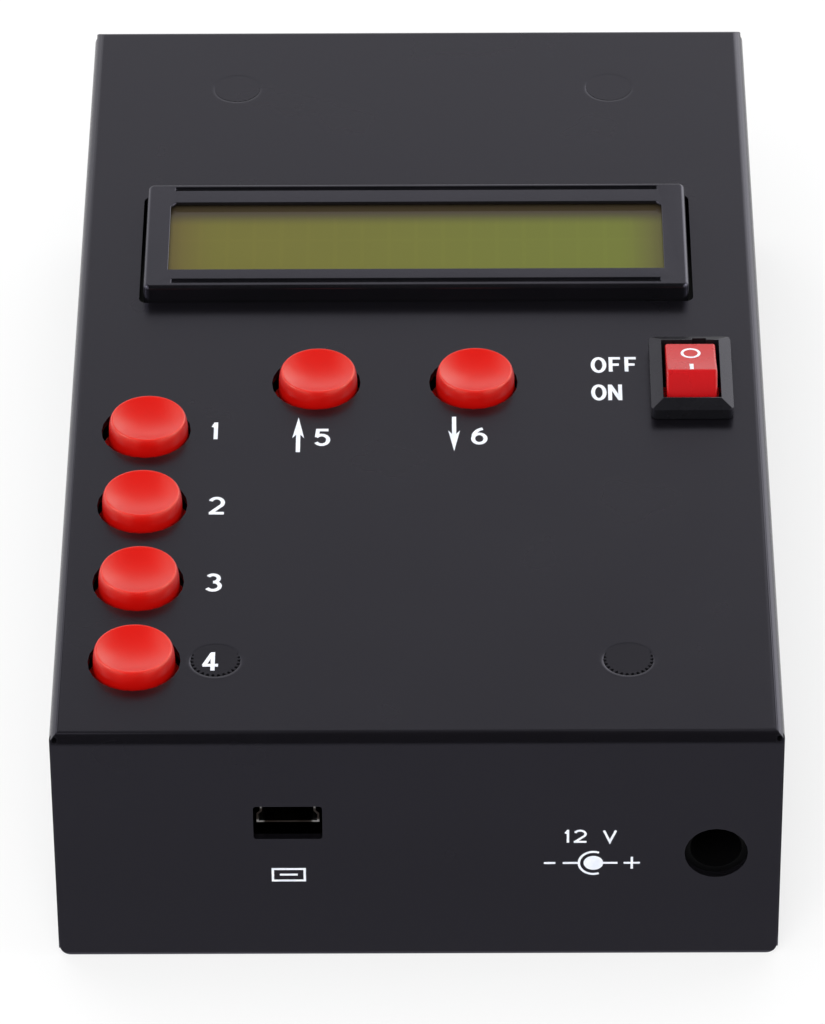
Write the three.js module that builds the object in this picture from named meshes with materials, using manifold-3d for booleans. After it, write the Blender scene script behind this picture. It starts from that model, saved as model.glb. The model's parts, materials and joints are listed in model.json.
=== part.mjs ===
// Antenna analyzer: a hand-sized folded steel box with a character display, six push buttons,
// a rocker switch, a supply jack, a data socket and a coaxial antenna socket.
// Millimetres. The origin is the middle of the underside, +Y points to the antenna end, +Z is up.
import * as THREE from 'three';
import { mergeVertices } from 'three/addons/utils/BufferGeometryUtils.js';
import Module from 'manifold-3d';

const wasm = await Module();
wasm.setup();

// Case, folded from one sheet: its width comes from the display, its depth from the rows of controls
const caseHeight = 34.9;
const sheet = 1;
const sideRoom = 3.5;
const frontMargin = 14.5;
const rearMargin = 51.6;
const bendRadius = 1.45;
const flapInset = 0.25;
const flapCorner = 1.3;
const wallEndGap = 0.25;
const reliefRadius = 0.35;

// Bottom cover, a tray that slides in between the walls
const lidGap = 0.2;
const lidBend = 1.3;
const lidFlange = 11.4;

// Clearances used all over
const seatGap = 0.05;
const fitGap = 0.1;
const holeGap = 0.2;
const overrun = 1;

// Screws and pressed-in nuts
const screwRadius = 1.4;
const screwHole = 1.6;
const screwHead = 2.8;
const screwHeadHeight = 1.8;
const screwHeadDome = 0.6;
const nutRadius = 2.8;
const nutHeight = 1.5;
const screwTip = 0.6;
const coverScrewHeight = 6;
const coverScrewInset = 36;

// Main board, hung from the top panel on pressed standoffs
const boardDrop = 7.9;
const boardThickness = 1.6;
const boardSideRoom = 2;
const boardFrontRoom = 1.2;
const boardRearRoom = 6;
const boardCorner = 2;
const standoffShift = 0.6;
const standoffInset = 16.25;
const standoffFromFront = 14.6;
const standoffFromRear = 14.4;
const standoffHead = 3.1;
const standoffBarrel = 2.7;
const boardScrewLength = 6;
const threadRoom = 0.8;

// Display module
const displayX = -0.25;
const displayStep = 29.4;
const bezelSideMargin = 3.15;
const bezelEndMargin = 4.125;
const bezelRise = 2.34;
const bezelSheet = 0.5;
const bezelEdge = 0.5;
const bezelCorner = 0.9;
const windowWidth = 64.9;
const windowDepth = 14.95;
const windowShift = 0.175;
const windowNotchX = 0.65;
const windowNotchY = 0.7;
const grooveInset = 0.5;
const grooveDepth = 0.35;
const backGrooveWidth = 0.75;
const backGrooveInset = 1.17;
const frontGrooveWidth = 0.95;
const frontGrooveInset = 1.33;
const tabWidth = 2.4;
const tabInset = 11.6;
const tabLength = 0.8;
const openingSideGap = 0.6;
const openingEndGap = 0.3;
const openingCorner = 1;
const cellRecess = 0.3;
const cellGap = 0.3;
const paneThickness = 1;
const cellLedge = 3;
const displayBoardSide = 4.4;
const displayBoardEnd = 6.4;
const displayBoardThickness = 1.2;
const displayHoleInset = 2.5;
const displayHole = 1.25;
const headerPitch = 2.54;
const headerPins = 16;
const headerPin = 0.64;
const headerHeight = 2.54;
const headerInsetX = 8;
const headerInsetY = 1.8;
const headerPinTail = 1;

// Push buttons: a column of four and a pair above it
const columnInset = 9.9;
const columnPitch = 15.5;
const columnCount = 4;
const pairStep = 10;
const pairCentreX = -2.95;
const pairPitch = 20.2;
const capRadius = 4.98;
const capDraft = 0.12;
const capRoom = 0.72;
const capCatch = 0.55;
const capPlay = [0.3, 0, 0.1, 0, 0.25, 0.25];
const capFlangeHeight = 0.8;
const capHeight = 6.2;
const capRise = 2.08;
const capRim = 0.3;
const capDish = 0.75;
const socketDepth = 3.2;
const buttonTravel = 0.3;
const switchSize = 12;
const switchHeight = 3.9;
const switchCorner = 0.7;
const switchBore = 3.5;
const switchFloor = 0.9;
const plungerShoulder = 0.4;
const stemWidth = 3.8;
const footLength = 0.8;
const footWidth = 1;
const footHeight = 0.3;
const footReach = 2.5;

// Rocker switch
const rockerInset = 9.4;
const rockerShift = 0.15;
const frameSideLip = 0.975;
const frameEndLip = 1.25;
const frameSide = 1.5;
const frameSlopeRise = 0.75;
const frameCorner = 0.8;
const frameNotchX = 1.2;
const frameNotchWidth = 1.8;
const frameNotchDepth = 1.7;
const housingWidth = 8.6;
const housingDepth = 13.2;
const housingDrop = 11;
const housingFloor = 1.2;
const housingSideWall = 0.575;
const housingEndWall = 0.5;
const housingClearance = 0.2;
const latchWidth = 5;
const latchReach = 0.7;
const latchHeight = 3;
const rockerPivotDrop = 1.9;
const rockerSideGap = 0.475;
const rockerEndGap = 0.2;
const rockerLean = 1.7;
const rockerTopHeight = 5.3;
const rockerValley = 0.4;
const rockerBelow = 0.9;
const rockerTilt = THREE.MathUtils.degToRad(13);
const pivotRadius = 0.9;
const pivotReach = 0.4;
const stalkRadius = 1.3;
const stalkTip = 0.6;
const stalkReach = 6.3;
const contactTilt = THREE.MathUtils.degToRad(7);
const contactRise = THREE.MathUtils.degToRad(6);
const contactEndGap = 0.9;
const contactWidth = 3.2;
const contactThickness = 0.5;
const stalkGap = 0.25;
const terminalGap = 0.25;
const terminalWidth = 3.2;
const terminalThickness = 0.8;
const terminalInset = 0.6;
const terminalLength = 7;
const terminalHole = 0.6;
const terminalHoleUp = 1.6;

// Supply jack under the board, behind the front wall
const jackInset = 8;
const jackDrop = 8.2;
const jackHole = 3.885;
const jackWidth = 9;
const jackLength = 14;
const jackBore = 3.15;
const jackBoreDepth = 10;
const jackPinRadius = 1;
const jackPinInset = 5.5;
const jackPinTail = 1.5;
const jackWallGap = 0.1;
const springWidth = 2.4;
const springThickness = 0.4;
const springLength = 8.6;
const springSlotDepth = 0.7;
const springBow = 0.35;

// Data socket under the board, behind the front wall
const socketInset = 28.7;
const socketWide = 7.75;
const socketNarrow = 6.85;
const socketHeight = 3.95;
const socketWideHeight = 1.45;
const socketShoulder = 0.45;
const socketLength = 9;
const socketWall = 0.3;
const socketWallGap = 0.15;
const tongueWidth = 5;
const tongueThickness = 0.8;
const tongueDrop = 1;
const tongueInset = 0.7;
const tongueRoot = 1.6;
const slotWidth = 8.44;
const slotHeight = 5.18;
const slotCorner = 0.4;
const slotDrop = 1.12;

// Antenna socket on the rear wall
const antennaLift = 1;
const antennaFlange = 25.4;
const antennaFlangeThickness = 2.4;
const antennaFlangeCorner = 2;
const antennaScrewPitch = 18.2;
const antennaBarrel = 7.95;
const antennaLength = 17.4;
const antennaBore = 6.35;
const antennaBoreDepth = 11;
const antennaThroat = 4.75;
const antennaRear = 6;
const antennaRearLength = 4;
const antennaChamfer = 0.5;
const antennaNotch = 1.6;
const antennaNotchDepth = 0.9;
const insulatorNose = 1.5;
const contactRadius = 2.45;
const contactBore = 2;
const contactInset = 3;
const contactBoreDepth = 9;
const contactSlot = 0.5;
const contactSlotDepth = 5;
const cupRadius = 1.5;
const cupLength = 5.5;
const cupBore = 0.9;
const cupBoreDepth = 3;

// Chips under the board
const controllerX = -8;
const controllerY = -28;
const controllerSize = 12;
const controllerThickness = 1.4;
const synthesizerX = 10;
const synthesizerY = 34;
const synthesizerWidth = 5.3;
const synthesizerLength = 10.2;
const synthesizerThickness = 1.8;
const chipChamfer = 1;

// Short leads held inside
const antennaWire = 0.7;
const antennaWireRun = 5;
const switchWire = 0.75;
const switchWireReach = 8;
const wireGap = 0.3;

// Facets
const roundSteps = 24;
const smallSteps = 12;
const arcSteps = 5;
const dishSteps = 3;
const wireSides = 8;
const wireSteps = 10;
const weldDistance = 0.0001;

// Widths, depths and places that follow
const bezelWidth = windowWidth + 2 * bezelSideMargin;
const bezelDepth = windowDepth + 2 * bezelEndMargin;
const displayBoardWidth = bezelWidth + 2 * displayBoardSide;
const displayBoardDepth = bezelDepth + 2 * displayBoardEnd;
const caseWidth = displayBoardWidth + 2 * (sheet + sideRoom);
const columnLength = (columnCount - 1) * columnPitch;
const caseDepth = frontMargin + columnLength + pairStep + displayStep + rearMargin;
const columnX = columnInset - caseWidth / 2;
const columnFirstY = frontMargin + columnLength - caseDepth / 2;
const pairY = columnFirstY + pairStep;
const displayY = pairY + displayStep;
const rockerX = caseWidth / 2 - rockerInset;
const rockerY = pairY - rockerShift;
const jackX = caseWidth / 2 - jackInset;
const socketX = socketInset - caseWidth / 2;
const boardWidth = caseWidth - 2 * (sheet + boardSideRoom);
const capHole = capRadius + capRoom;
const capFlange = capHole + capCatch;
const cavityWidth = housingWidth - 2 * housingSideWall;
const cavityDepth = housingDepth - 2 * housingEndWall;
const frameWidth = housingWidth + 2 * frameSideLip;
const frameDepth = housingDepth + 2 * frameEndLip;
const frameSlopeRun = (frameWidth - cavityWidth) / 2;
const rockerWidth = cavityWidth - 2 * rockerSideGap;
const rockerEnd = cavityDepth / 2 - rockerEndGap;
const rockerTopReach = rockerEnd - rockerLean;
const contactLength = cavityDepth - 2 * contactEndGap;
const terminalReach = contactLength / 2 - terminalInset;
const antennaHeight = antennaFlange / 2 + antennaLift;

// Heights and faces that follow
const panelUnder = caseHeight - sheet;
const boardTop = panelUnder - boardDrop;
const boardUnder = boardTop - boardThickness;
const frontFace = -caseDepth / 2;
const frontInside = frontFace + sheet;
const rearFace = caseDepth / 2;
const rearInside = rearFace - sheet;
const boardFront = frontInside + boardFrontRoom;
const boardBack = rearInside - boardRearRoom;
const coverScrewReach = caseDepth / 2 - coverScrewInset;
const lidWidth = caseWidth - 2 * (sheet + lidGap);
const lidDepth = caseDepth - 2 * (sheet + lidGap);
const bezelTop = caseHeight + bezelRise;
const displayBoardUnder = boardTop + headerHeight + 2 * seatGap;
const displayBoardTop = displayBoardUnder + displayBoardThickness;
const cellTop = bezelTop - bezelSheet - cellRecess;
const cellBottom = cellTop - 2 * paneThickness;
const capBottom = caseHeight + capRise - capHeight;
const switchTop = boardTop + seatGap + switchHeight;
const housingBottom = panelUnder - housingDrop;
const housingFloorTop = housingBottom + housingFloor;
const pivotHeight = caseHeight - rockerPivotDrop;
const contactTop = pivotHeight - stalkReach - stalkGap;
const contactPivot = contactTop - contactThickness;
const jackHeight = boardUnder - jackDrop;
const socketUnder = boardUnder - seatGap - socketHeight;
const slotMiddle = socketUnder + socketHeight / 2 - slotDrop;
const barrelEnd = rearFace + antennaLength;

// Turning a closed geometry into a solid, and back

function solidOf(geometry) {
  const bare = geometry.clone();
  bare.deleteAttribute('normal');
  bare.deleteAttribute('uv');
  const merged = mergeVertices(bare, weldDistance);
  const places = merged.attributes.position;
  const corners = [];
  for (let i = 0; i < merged.index.count; i += 3) {
    const [a, b, c] = [merged.index.getX(i), merged.index.getX(i + 1), merged.index.getX(i + 2)];
    if (a !== b && b !== c && c !== a) corners.push([a, b, c]);
  }
  const point = (index) => new THREE.Vector3().fromBufferAttribute(places, index);
  let volume = 0;
  for (const [a, b, c] of corners) volume += point(a).dot(point(b).cross(point(c)));
  const outward = volume < 0 ? corners.map(([a, b, c]) => [a, c, b]) : corners;
  return new wasm.Manifold(new wasm.Mesh({
    numProp: 3,
    vertProperties: new Float32Array(places.array),
    triVerts: new Uint32Array(outward.flat()),
  }));
}

function geometryOf(solid) {
  const { vertProperties, triVerts } = solid.getMesh();
  const geometry = new THREE.BufferGeometry();
  geometry.setAttribute('position', new THREE.BufferAttribute(vertProperties, 3));
  geometry.setIndex(new THREE.BufferAttribute(triVerts, 1));
  geometry.computeVertexNormals();
  return geometry;
}

function joined(solids) {
  return solids.reduce((sum, solid) => sum.add(solid));
}

function cut(solid, tools) {
  return tools.reduce((rest, tool) => rest.subtract(tool), solid);
}

// Outlines

function rectangle(width, height) {
  const shape = new THREE.Shape();
  shape.moveTo(-width / 2, -height / 2);
  shape.lineTo(width / 2, -height / 2);
  shape.lineTo(width / 2, height / 2);
  shape.lineTo(-width / 2, height / 2);
  shape.closePath();
  return shape;
}

function roundedRectangle(width, height, radius) {
  const x = width / 2 - radius;
  const y = height / 2 - radius;
  const shape = new THREE.Shape();
  shape.moveTo(-x, -y - radius);
  shape.lineTo(x, -y - radius);
  shape.absarc(x, -y, radius, -Math.PI / 2, 0);
  shape.lineTo(x + radius, y);
  shape.absarc(x, y, radius, 0, Math.PI / 2);
  shape.lineTo(-x, y + radius);
  shape.absarc(-x, y, radius, Math.PI / 2, Math.PI);
  shape.lineTo(-x - radius, -y);
  shape.absarc(-x, -y, radius, Math.PI, Math.PI * 1.5);
  return shape;
}

// A channel folded from sheet, open below: the outside is span wide and drop high
function foldedSection(span, drop, thickness, radius) {
  const bend = span / 2 - radius;
  const top = drop - radius;
  const shape = new THREE.Shape();
  shape.moveTo(span / 2, 0);
  shape.lineTo(span / 2, top);
  shape.absarc(bend, top, radius, 0, Math.PI / 2);
  shape.lineTo(-bend, drop);
  shape.absarc(-bend, top, radius, Math.PI / 2, Math.PI);
  shape.lineTo(-span / 2, 0);
  shape.lineTo(-span / 2 + thickness, 0);
  shape.lineTo(-span / 2 + thickness, top);
  shape.absarc(-bend, top, radius - thickness, Math.PI, Math.PI / 2, true);
  shape.lineTo(bend, drop - thickness);
  shape.absarc(bend, top, radius - thickness, Math.PI / 2, 0, true);
  shape.lineTo(span / 2 - thickness, 0);
  shape.closePath();
  return shape;
}

// An end flap seen from outside: square at the sides, rounded below, and above it follows the side folds
function flapOutline() {
  const half = caseWidth / 2 - flapInset;
  const bend = caseWidth / 2 - bendRadius;
  const start = Math.acos((half - bend) / bendRadius);
  const shape = new THREE.Shape();
  shape.moveTo(-half + flapCorner, 0);
  shape.lineTo(half - flapCorner, 0);
  shape.absarc(half - flapCorner, flapCorner, flapCorner, -Math.PI / 2, 0);
  shape.absarc(bend, caseHeight - bendRadius, bendRadius, start, Math.PI / 2);
  shape.absarc(-bend, caseHeight - bendRadius, bendRadius, Math.PI / 2, Math.PI - start);
  shape.absarc(-half + flapCorner, flapCorner, flapCorner, Math.PI, Math.PI * 1.5);
  return shape;
}

// Basic bodies

function raised(shape, bottom, top, curveSegments = arcSteps) {
  const geometry = new THREE.ExtrudeGeometry(shape, { depth: top - bottom, bevelEnabled: false, curveSegments });
  return geometry.translate(0, 0, bottom);
}

// The outline's x stays x, and its y becomes z
function alongY(shape, front, back, curveSegments = arcSteps) {
  const geometry = new THREE.ExtrudeGeometry(shape, { depth: back - front, bevelEnabled: false, curveSegments });
  return geometry.rotateX(Math.PI / 2).translate(0, back, 0);
}

// The outline's x becomes y, and its y becomes z
function alongX(shape, left, right, curveSegments = arcSteps) {
  const geometry = new THREE.ExtrudeGeometry(shape, { depth: right - left, bevelEnabled: false, curveSegments });
  const turn = new THREE.Matrix4().set(0, 0, 1, 0, 1, 0, 0, 0, 0, 1, 0, 0, 0, 0, 0, 1);
  return geometry.applyMatrix4(turn).translate(left, 0, 0);
}

function block(width, depth, bottom, top, x = 0, y = 0) {
  const geometry = new THREE.BoxGeometry(width, depth, top - bottom);
  return solidOf(geometry.translate(x, y, (bottom + top) / 2));
}

function postZ(radius, bottom, top, x = 0, y = 0, steps = roundSteps) {
  const geometry = new THREE.CylinderGeometry(radius, radius, top - bottom, steps).rotateX(Math.PI / 2);
  return solidOf(geometry.translate(x, y, (bottom + top) / 2));
}

function postY(radius, front, back, x = 0, z = 0, steps = roundSteps) {
  const geometry = new THREE.CylinderGeometry(radius, radius, back - front, steps);
  return solidOf(geometry.translate(x, (front + back) / 2, z));
}

function postX(radius, left, right, y = 0, z = 0, steps = smallSteps) {
  const geometry = new THREE.CylinderGeometry(radius, radius, right - left, steps).rotateZ(Math.PI / 2);
  return solidOf(geometry.translate((left + right) / 2, y, z));
}

// A body of revolution round Z: points are [radius, height], from the axis round to the axis
function turned(points, steps = roundSteps) {
  const profile = points.map(([radius, height]) => new THREE.Vector2(radius, height));
  return solidOf(new THREE.LatheGeometry(profile, steps).rotateX(Math.PI / 2));
}

function metal(color, roughness = 0.35) {
  return new THREE.MeshStandardMaterial({ color, roughness, metalness: 1 });
}

function plastic(color, roughness = 0.5) {
  return new THREE.MeshStandardMaterial({ color, roughness, metalness: 0 });
}

function piece(name, solid, material, x = 0, y = 0, z = 0) {
  const mesh = new THREE.Mesh(geometryOf(solid), material);
  mesh.name = name;
  mesh.position.set(x, y, z);
  return mesh;
}

// Places that repeat

function buttonPlaces() {
  const places = [];
  for (let row = 0; row < columnCount; row += 1) {
    places.push([columnX, columnFirstY - row * columnPitch]);
  }
  for (const side of [-1, 1]) {
    places.push([pairCentreX + (side * pairPitch) / 2, pairY]);
  }
  return places;
}

function fourPlaces(pitchX, pitchY, centreX = 0, centreY = 0) {
  const places = [];
  for (const sideX of [-1, 1]) {
    for (const sideY of [-1, 1]) {
      places.push([centreX + (sideX * pitchX) / 2, centreY + (sideY * pitchY) / 2]);
    }
  }
  return places;
}

const standoffPlaces = fourPlaces(
  boardWidth - 2 * standoffInset,
  caseDepth - standoffFromFront - standoffFromRear,
  standoffShift,
  (standoffFromFront - standoffFromRear) / 2,
);
const antennaScrewPlaces = fourPlaces(antennaScrewPitch, antennaScrewPitch, 0, antennaHeight);

// A pan head screw along Z: the head's seat is at 0, the head above it and the shank below
function panScrew(length) {
  const dome = screwHeadHeight - screwHeadDome;
  const shoulder = screwHead - screwHeadDome;
  return turned([
    [0, -length],
    [screwRadius, -length],
    [screwRadius, 0],
    [screwHead, 0],
    [screwHead, dome],
    [shoulder + screwHeadDome / 2, dome + screwHeadDome * 0.7],
    [shoulder, screwHeadHeight],
    [0, screwHeadHeight],
  ], smallSteps);
}

// Case

function topPanelCuts() {
  const below = panelUnder - overrun;
  const above = caseHeight + overrun;
  const opening = roundedRectangle(
    bezelWidth + 2 * openingSideGap,
    bezelDepth + 2 * openingEndGap,
    openingCorner,
  );
  const display = raised(opening, below, above).translate(displayX, displayY, 0);
  const rocker = block(
    housingWidth + 2 * housingClearance,
    housingDepth + 2 * housingClearance,
    below,
    above,
    rockerX,
    rockerY,
  );
  const buttons = buttonPlaces().map(([x, y]) => postZ(capHole, below, above, x, y));
  const standoffs = standoffPlaces.map(([x, y]) => postZ(standoffHead + fitGap, below, above, x, y));
  return [solidOf(display), rocker, ...buttons, ...standoffs];
}

function frontWallCuts() {
  const [front, back] = [frontFace - overrun, frontInside + overrun];
  const jack = postY(jackHole, front, back, jackX, jackHeight);
  const slot = alongY(roundedRectangle(slotWidth, slotHeight, slotCorner), front, back);
  return [jack, solidOf(slot.translate(socketX, 0, slotMiddle))];
}

function rearWallCuts() {
  const [front, back] = [rearInside - nutHeight - overrun, rearFace + overrun];
  const body = postY(antennaRear + holeGap, front, back, 0, antennaHeight);
  const screws = antennaScrewPlaces.map(([x, z]) => postY(screwHole, front, back, x, z, smallSteps));
  return [body, ...screws];
}

function coverScrewCuts() {
  const half = caseWidth / 2;
  const cuts = [];
  for (const y of [-coverScrewReach, coverScrewReach]) {
    cuts.push(postX(screwHole, -half - overrun, half + overrun, y, coverScrewHeight));
  }
  return cuts;
}

function cornerReliefs() {
  const out = caseWidth / 2 - bendRadius / 2;
  const up = caseHeight - bendRadius / 2;
  const cuts = [];
  for (const x of [-out, out]) {
    cuts.push(postY(reliefRadius, frontFace - overrun, frontInside + wallEndGap, x, up, wireSides));
    cuts.push(postY(reliefRadius, rearInside - wallEndGap, rearFace + overrun, x, up, wireSides));
  }
  return cuts;
}

function topCover() {
  const sideEnd = caseDepth / 2 - sheet - wallEndGap;
  const sides = alongY(foldedSection(caseWidth, caseHeight, sheet, bendRadius), -sideEnd, sideEnd);
  const flapHalf = caseWidth / 2 - flapInset;
  const ends = alongX(foldedSection(caseDepth, caseHeight, sheet, bendRadius), -flapHalf, flapHalf);
  const outline = alongY(flapOutline(), frontFace - overrun, rearFace + overrun);
  const nuts = antennaScrewPlaces.map(([x, z]) => (
    postY(nutRadius, rearInside - nutHeight, rearFace - sheet / 2, x, z, smallSteps)
  ));
  const walls = joined([solidOf(ends).intersect(solidOf(outline)), solidOf(sides), ...nuts]);
  const cuts = [...topPanelCuts(), ...frontWallCuts(), ...rearWallCuts(), ...coverScrewCuts(), ...cornerReliefs()];
  return piece('top_cover', cut(walls, cuts), metal(0x3b3a3f, 0.55));
}

function bottomCover() {
  const section = alongY(foldedSection(lidWidth, lidFlange, sheet, lidBend), -lidDepth / 2, lidDepth / 2);
  const tray = solidOf(section.rotateY(Math.PI).translate(0, 0, lidFlange));
  const nuts = [];
  for (const side of [-1, 1]) {
    const outer = side * (lidWidth / 2 - sheet / 2);
    const inner = side * (lidWidth / 2 - sheet - nutHeight);
    for (const y of [-coverScrewReach, coverScrewReach]) {
      const [left, right] = [Math.min(outer, inner), Math.max(outer, inner)];
      nuts.push(postX(nutRadius, left, right, y, coverScrewHeight));
    }
  }
  return piece('bottom_cover', cut(joined([tray, ...nuts]), coverScrewCuts()), metal(0x3b3a3f, 0.6));
}

function coverScrews() {
  const length = sheet + seatGap + lidGap + sheet + nutHeight + screwTip;
  const screws = [];
  for (const side of [-1, 1]) {
    for (const y of [-coverScrewReach, coverScrewReach]) {
      const name = `cover_screw_${screws.length + 1}`;
      const x = side * (caseWidth / 2 + seatGap);
      const screw = piece(name, panScrew(length), metal(0x2a2a2c), x, y, coverScrewHeight);
      screw.rotation.y = (side * Math.PI) / 2;
      screws.push(screw);
    }
  }
  return screws;
}

// Main board and what hangs it

function mainBoard() {
  const length = boardBack - boardFront;
  const middle = (boardBack + boardFront) / 2;
  const outline = roundedRectangle(boardWidth, length, boardCorner);
  const board = solidOf(raised(outline, boardUnder, boardTop).translate(0, middle, 0));
  const [below, above] = [boardUnder - overrun, boardTop + overrun];
  const notchLeft = rockerX - housingWidth / 2 - latchReach - holeGap;
  const notchRight = boardWidth / 2 + overrun;
  const notch = block(
    notchRight - notchLeft,
    housingDepth + 2 * (latchReach + housingClearance + holeGap),
    below,
    above,
    (notchLeft + notchRight) / 2,
    rockerY,
  );
  const holes = standoffPlaces.map(([x, y]) => postZ(screwHole, below, above, x, y, smallSteps));
  return piece('main_board', cut(board, [notch, ...holes, ...headerHoles(below, above)]), plastic(0x1f4d33, 0.6));
}

function standoff() {
  const bottom = boardTop + seatGap;
  const boreTop = boardUnder + boardScrewLength + threadRoom;
  const bore = postZ(screwRadius + fitGap, bottom - overrun, boreTop, 0, 0, smallSteps);
  const body = turned([
    [0, bottom],
    [standoffBarrel, bottom],
    [standoffBarrel, panelUnder],
    [standoffHead, panelUnder],
    [standoffHead, caseHeight],
    [0, caseHeight],
  ]);
  return body.subtract(bore);
}

function boardHangers() {
  const pieces = [];
  standoffPlaces.forEach(([x, y], index) => {
    pieces.push(piece(`standoff_${index + 1}`, standoff(), metal(0x444348, 0.5), x, y));
    const name = `board_screw_${index + 1}`;
    const screw = piece(name, panScrew(boardScrewLength), metal(0xb8b8ba), x, y, boardUnder - seatGap);
    screw.rotation.x = Math.PI;
    pieces.push(screw);
  });
  return pieces;
}

// Display module

function headerPlaces() {
  const firstX = displayX - displayBoardWidth / 2 + headerInsetX;
  const y = displayY + displayBoardDepth / 2 - headerInsetY;
  return Array.from({ length: headerPins }, (_, index) => [firstX + index * headerPitch, y]);
}

function headerHoles(below, above) {
  const side = headerPin + 2 * fitGap;
  return headerPlaces().map(([x, y]) => block(side, side, below, above, x, y));
}

function displayBezel() {
  const bottom = displayBoardTop + seatGap;
  const outline = roundedRectangle(bezelWidth - 2 * bezelEdge, bezelDepth - 2 * bezelEdge, bezelCorner - bezelEdge);
  const geometry = new THREE.ExtrudeGeometry(outline, {
    depth: bezelTop - bottom - bezelEdge,
    bevelSize: bezelEdge,
    bevelThickness: bezelEdge,
    bevelSegments: 3,
    curveSegments: 3,
  });
  const shell = solidOf(geometry.translate(0, 0, bottom));
  const under = block(bezelWidth + overrun, bezelDepth + overrun, bottom - bezelEdge - overrun, bottom);
  const inside = block(
    bezelWidth - 2 * bezelSheet,
    bezelDepth - 2 * bezelSheet,
    bottom - overrun,
    bezelTop - bezelSheet,
  );
  const window = windowOutline();
  const opening = solidOf(raised(window, bottom, bezelTop + overrun).translate(0, -windowShift, 0));
  const grooveTop = bezelTop + overrun;
  const grooveLength = windowWidth - 2 * grooveInset;
  const backGroove = block(
    grooveLength, backGrooveWidth, bezelTop - grooveDepth, grooveTop, 0, bezelDepth / 2 - backGrooveInset,
  );
  const frontGroove = block(
    grooveLength, frontGrooveWidth, bezelTop - grooveDepth, grooveTop, 0, frontGrooveInset - bezelDepth / 2,
  );
  const tabs = bezelTabs().map(([x, y]) => (
    block(tabWidth, bezelSheet, displayBoardUnder - tabLength, bottom + bezelSheet, x, y)
  ));
  const frame = joined([cut(shell, [under, inside]), ...tabs]);
  return piece('display_bezel', cut(frame, [opening, backGroove, frontGroove]), metal(0x1c1c1f, 0.3));
}

function bezelTabs() {
  return fourPlaces(bezelWidth - 2 * tabInset, bezelDepth - bezelSheet);
}

function windowOutline() {
  const [x, y] = [windowWidth / 2, windowDepth / 2];
  const shape = new THREE.Shape();
  shape.moveTo(-x, -y);
  shape.lineTo(x, -y);
  shape.lineTo(x, y - windowNotchY);
  shape.lineTo(x - windowNotchX, y);
  shape.lineTo(windowNotchX - x, y);
  shape.lineTo(-x, y - windowNotchY);
  shape.closePath();
  return shape;
}

function displayCell() {
  const width = bezelWidth - 2 * (bezelSheet + cellGap);
  const depth = bezelDepth - 2 * (bezelSheet + cellGap);
  const lower = block(width, depth, cellBottom, cellBottom + paneThickness);
  const upper = block(width, depth - cellLedge, cellBottom + paneThickness / 2, cellTop);
  return piece('display_cell', lower.add(upper), plastic(0x757a3c, 0.15));
}

function displayBacklight() {
  const width = bezelWidth - 2 * (bezelSheet + cellGap);
  const depth = bezelDepth - 2 * (bezelSheet + cellGap);
  const guide = block(width, depth, displayBoardTop + seatGap, cellBottom - seatGap);
  return piece('display_backlight', guide, plastic(0xe6e6dc, 0.4));
}

function displayBoard() {
  const [below, above] = [displayBoardUnder - overrun, displayBoardTop + overrun];
  const board = block(displayBoardWidth, displayBoardDepth, displayBoardUnder, displayBoardTop);
  const corners = fourPlaces(
    displayBoardWidth - 2 * displayHoleInset,
    displayBoardDepth - 2 * displayHoleInset,
  );
  const holes = corners.map(([x, y]) => postZ(displayHole, below, above, x, y, smallSteps));
  const slots = bezelTabs().map(([x, y]) => (
    block(tabWidth + 2 * fitGap, bezelSheet + 2 * fitGap, below, above, x, y)
  ));
  const pins = headerHoles(below, above).map((hole) => hole.translate([-displayX, -displayY, 0]));
  return piece('display_board', cut(board, [...holes, ...slots, ...pins]), plastic(0x1d5a37, 0.55));
}

function displayHeader() {
  const places = headerPlaces();
  const [firstX, y] = places[0];
  const length = headerPins * headerPitch;
  const spacer = block(
    length, headerPitch, boardTop + seatGap, displayBoardUnder - seatGap, firstX + (length - headerPitch) / 2, y,
  );
  const pins = places.map(([x]) => (
    block(headerPin, headerPin, boardUnder - headerPinTail, displayBoardTop + headerPinTail, x, y)
  ));
  return piece('display_header', joined([spacer, ...pins]), plastic(0x18181a, 0.6));
}

function displayModule() {
  const group = new THREE.Group();
  group.position.set(displayX, displayY, 0);
  group.add(displayBezel(), displayCell(), displayBacklight(), displayBoard());
  return [group, displayHeader()];
}

// Push buttons

function switchBody() {
  const outline = roundedRectangle(switchSize, switchSize, switchCorner);
  const body = solidOf(raised(outline, 0, switchHeight, 2));
  const bore = postZ(switchBore, switchFloor, switchHeight + overrun, 0, 0, smallSteps);
  const feet = fourPlaces(switchSize, 2 * footReach).map(([x, y]) => (
    block(2 * footLength, footWidth, 0, footHeight, x, y)
  ));
  return cut(joined([body, ...feet]), [bore]);
}

function plunger(bottom, shoulder, top) {
  const disc = postZ(switchBore - fitGap, bottom, shoulder, 0, 0, smallSteps);
  return disc.add(block(stemWidth, stemWidth, shoulder - plungerShoulder, top));
}

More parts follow.
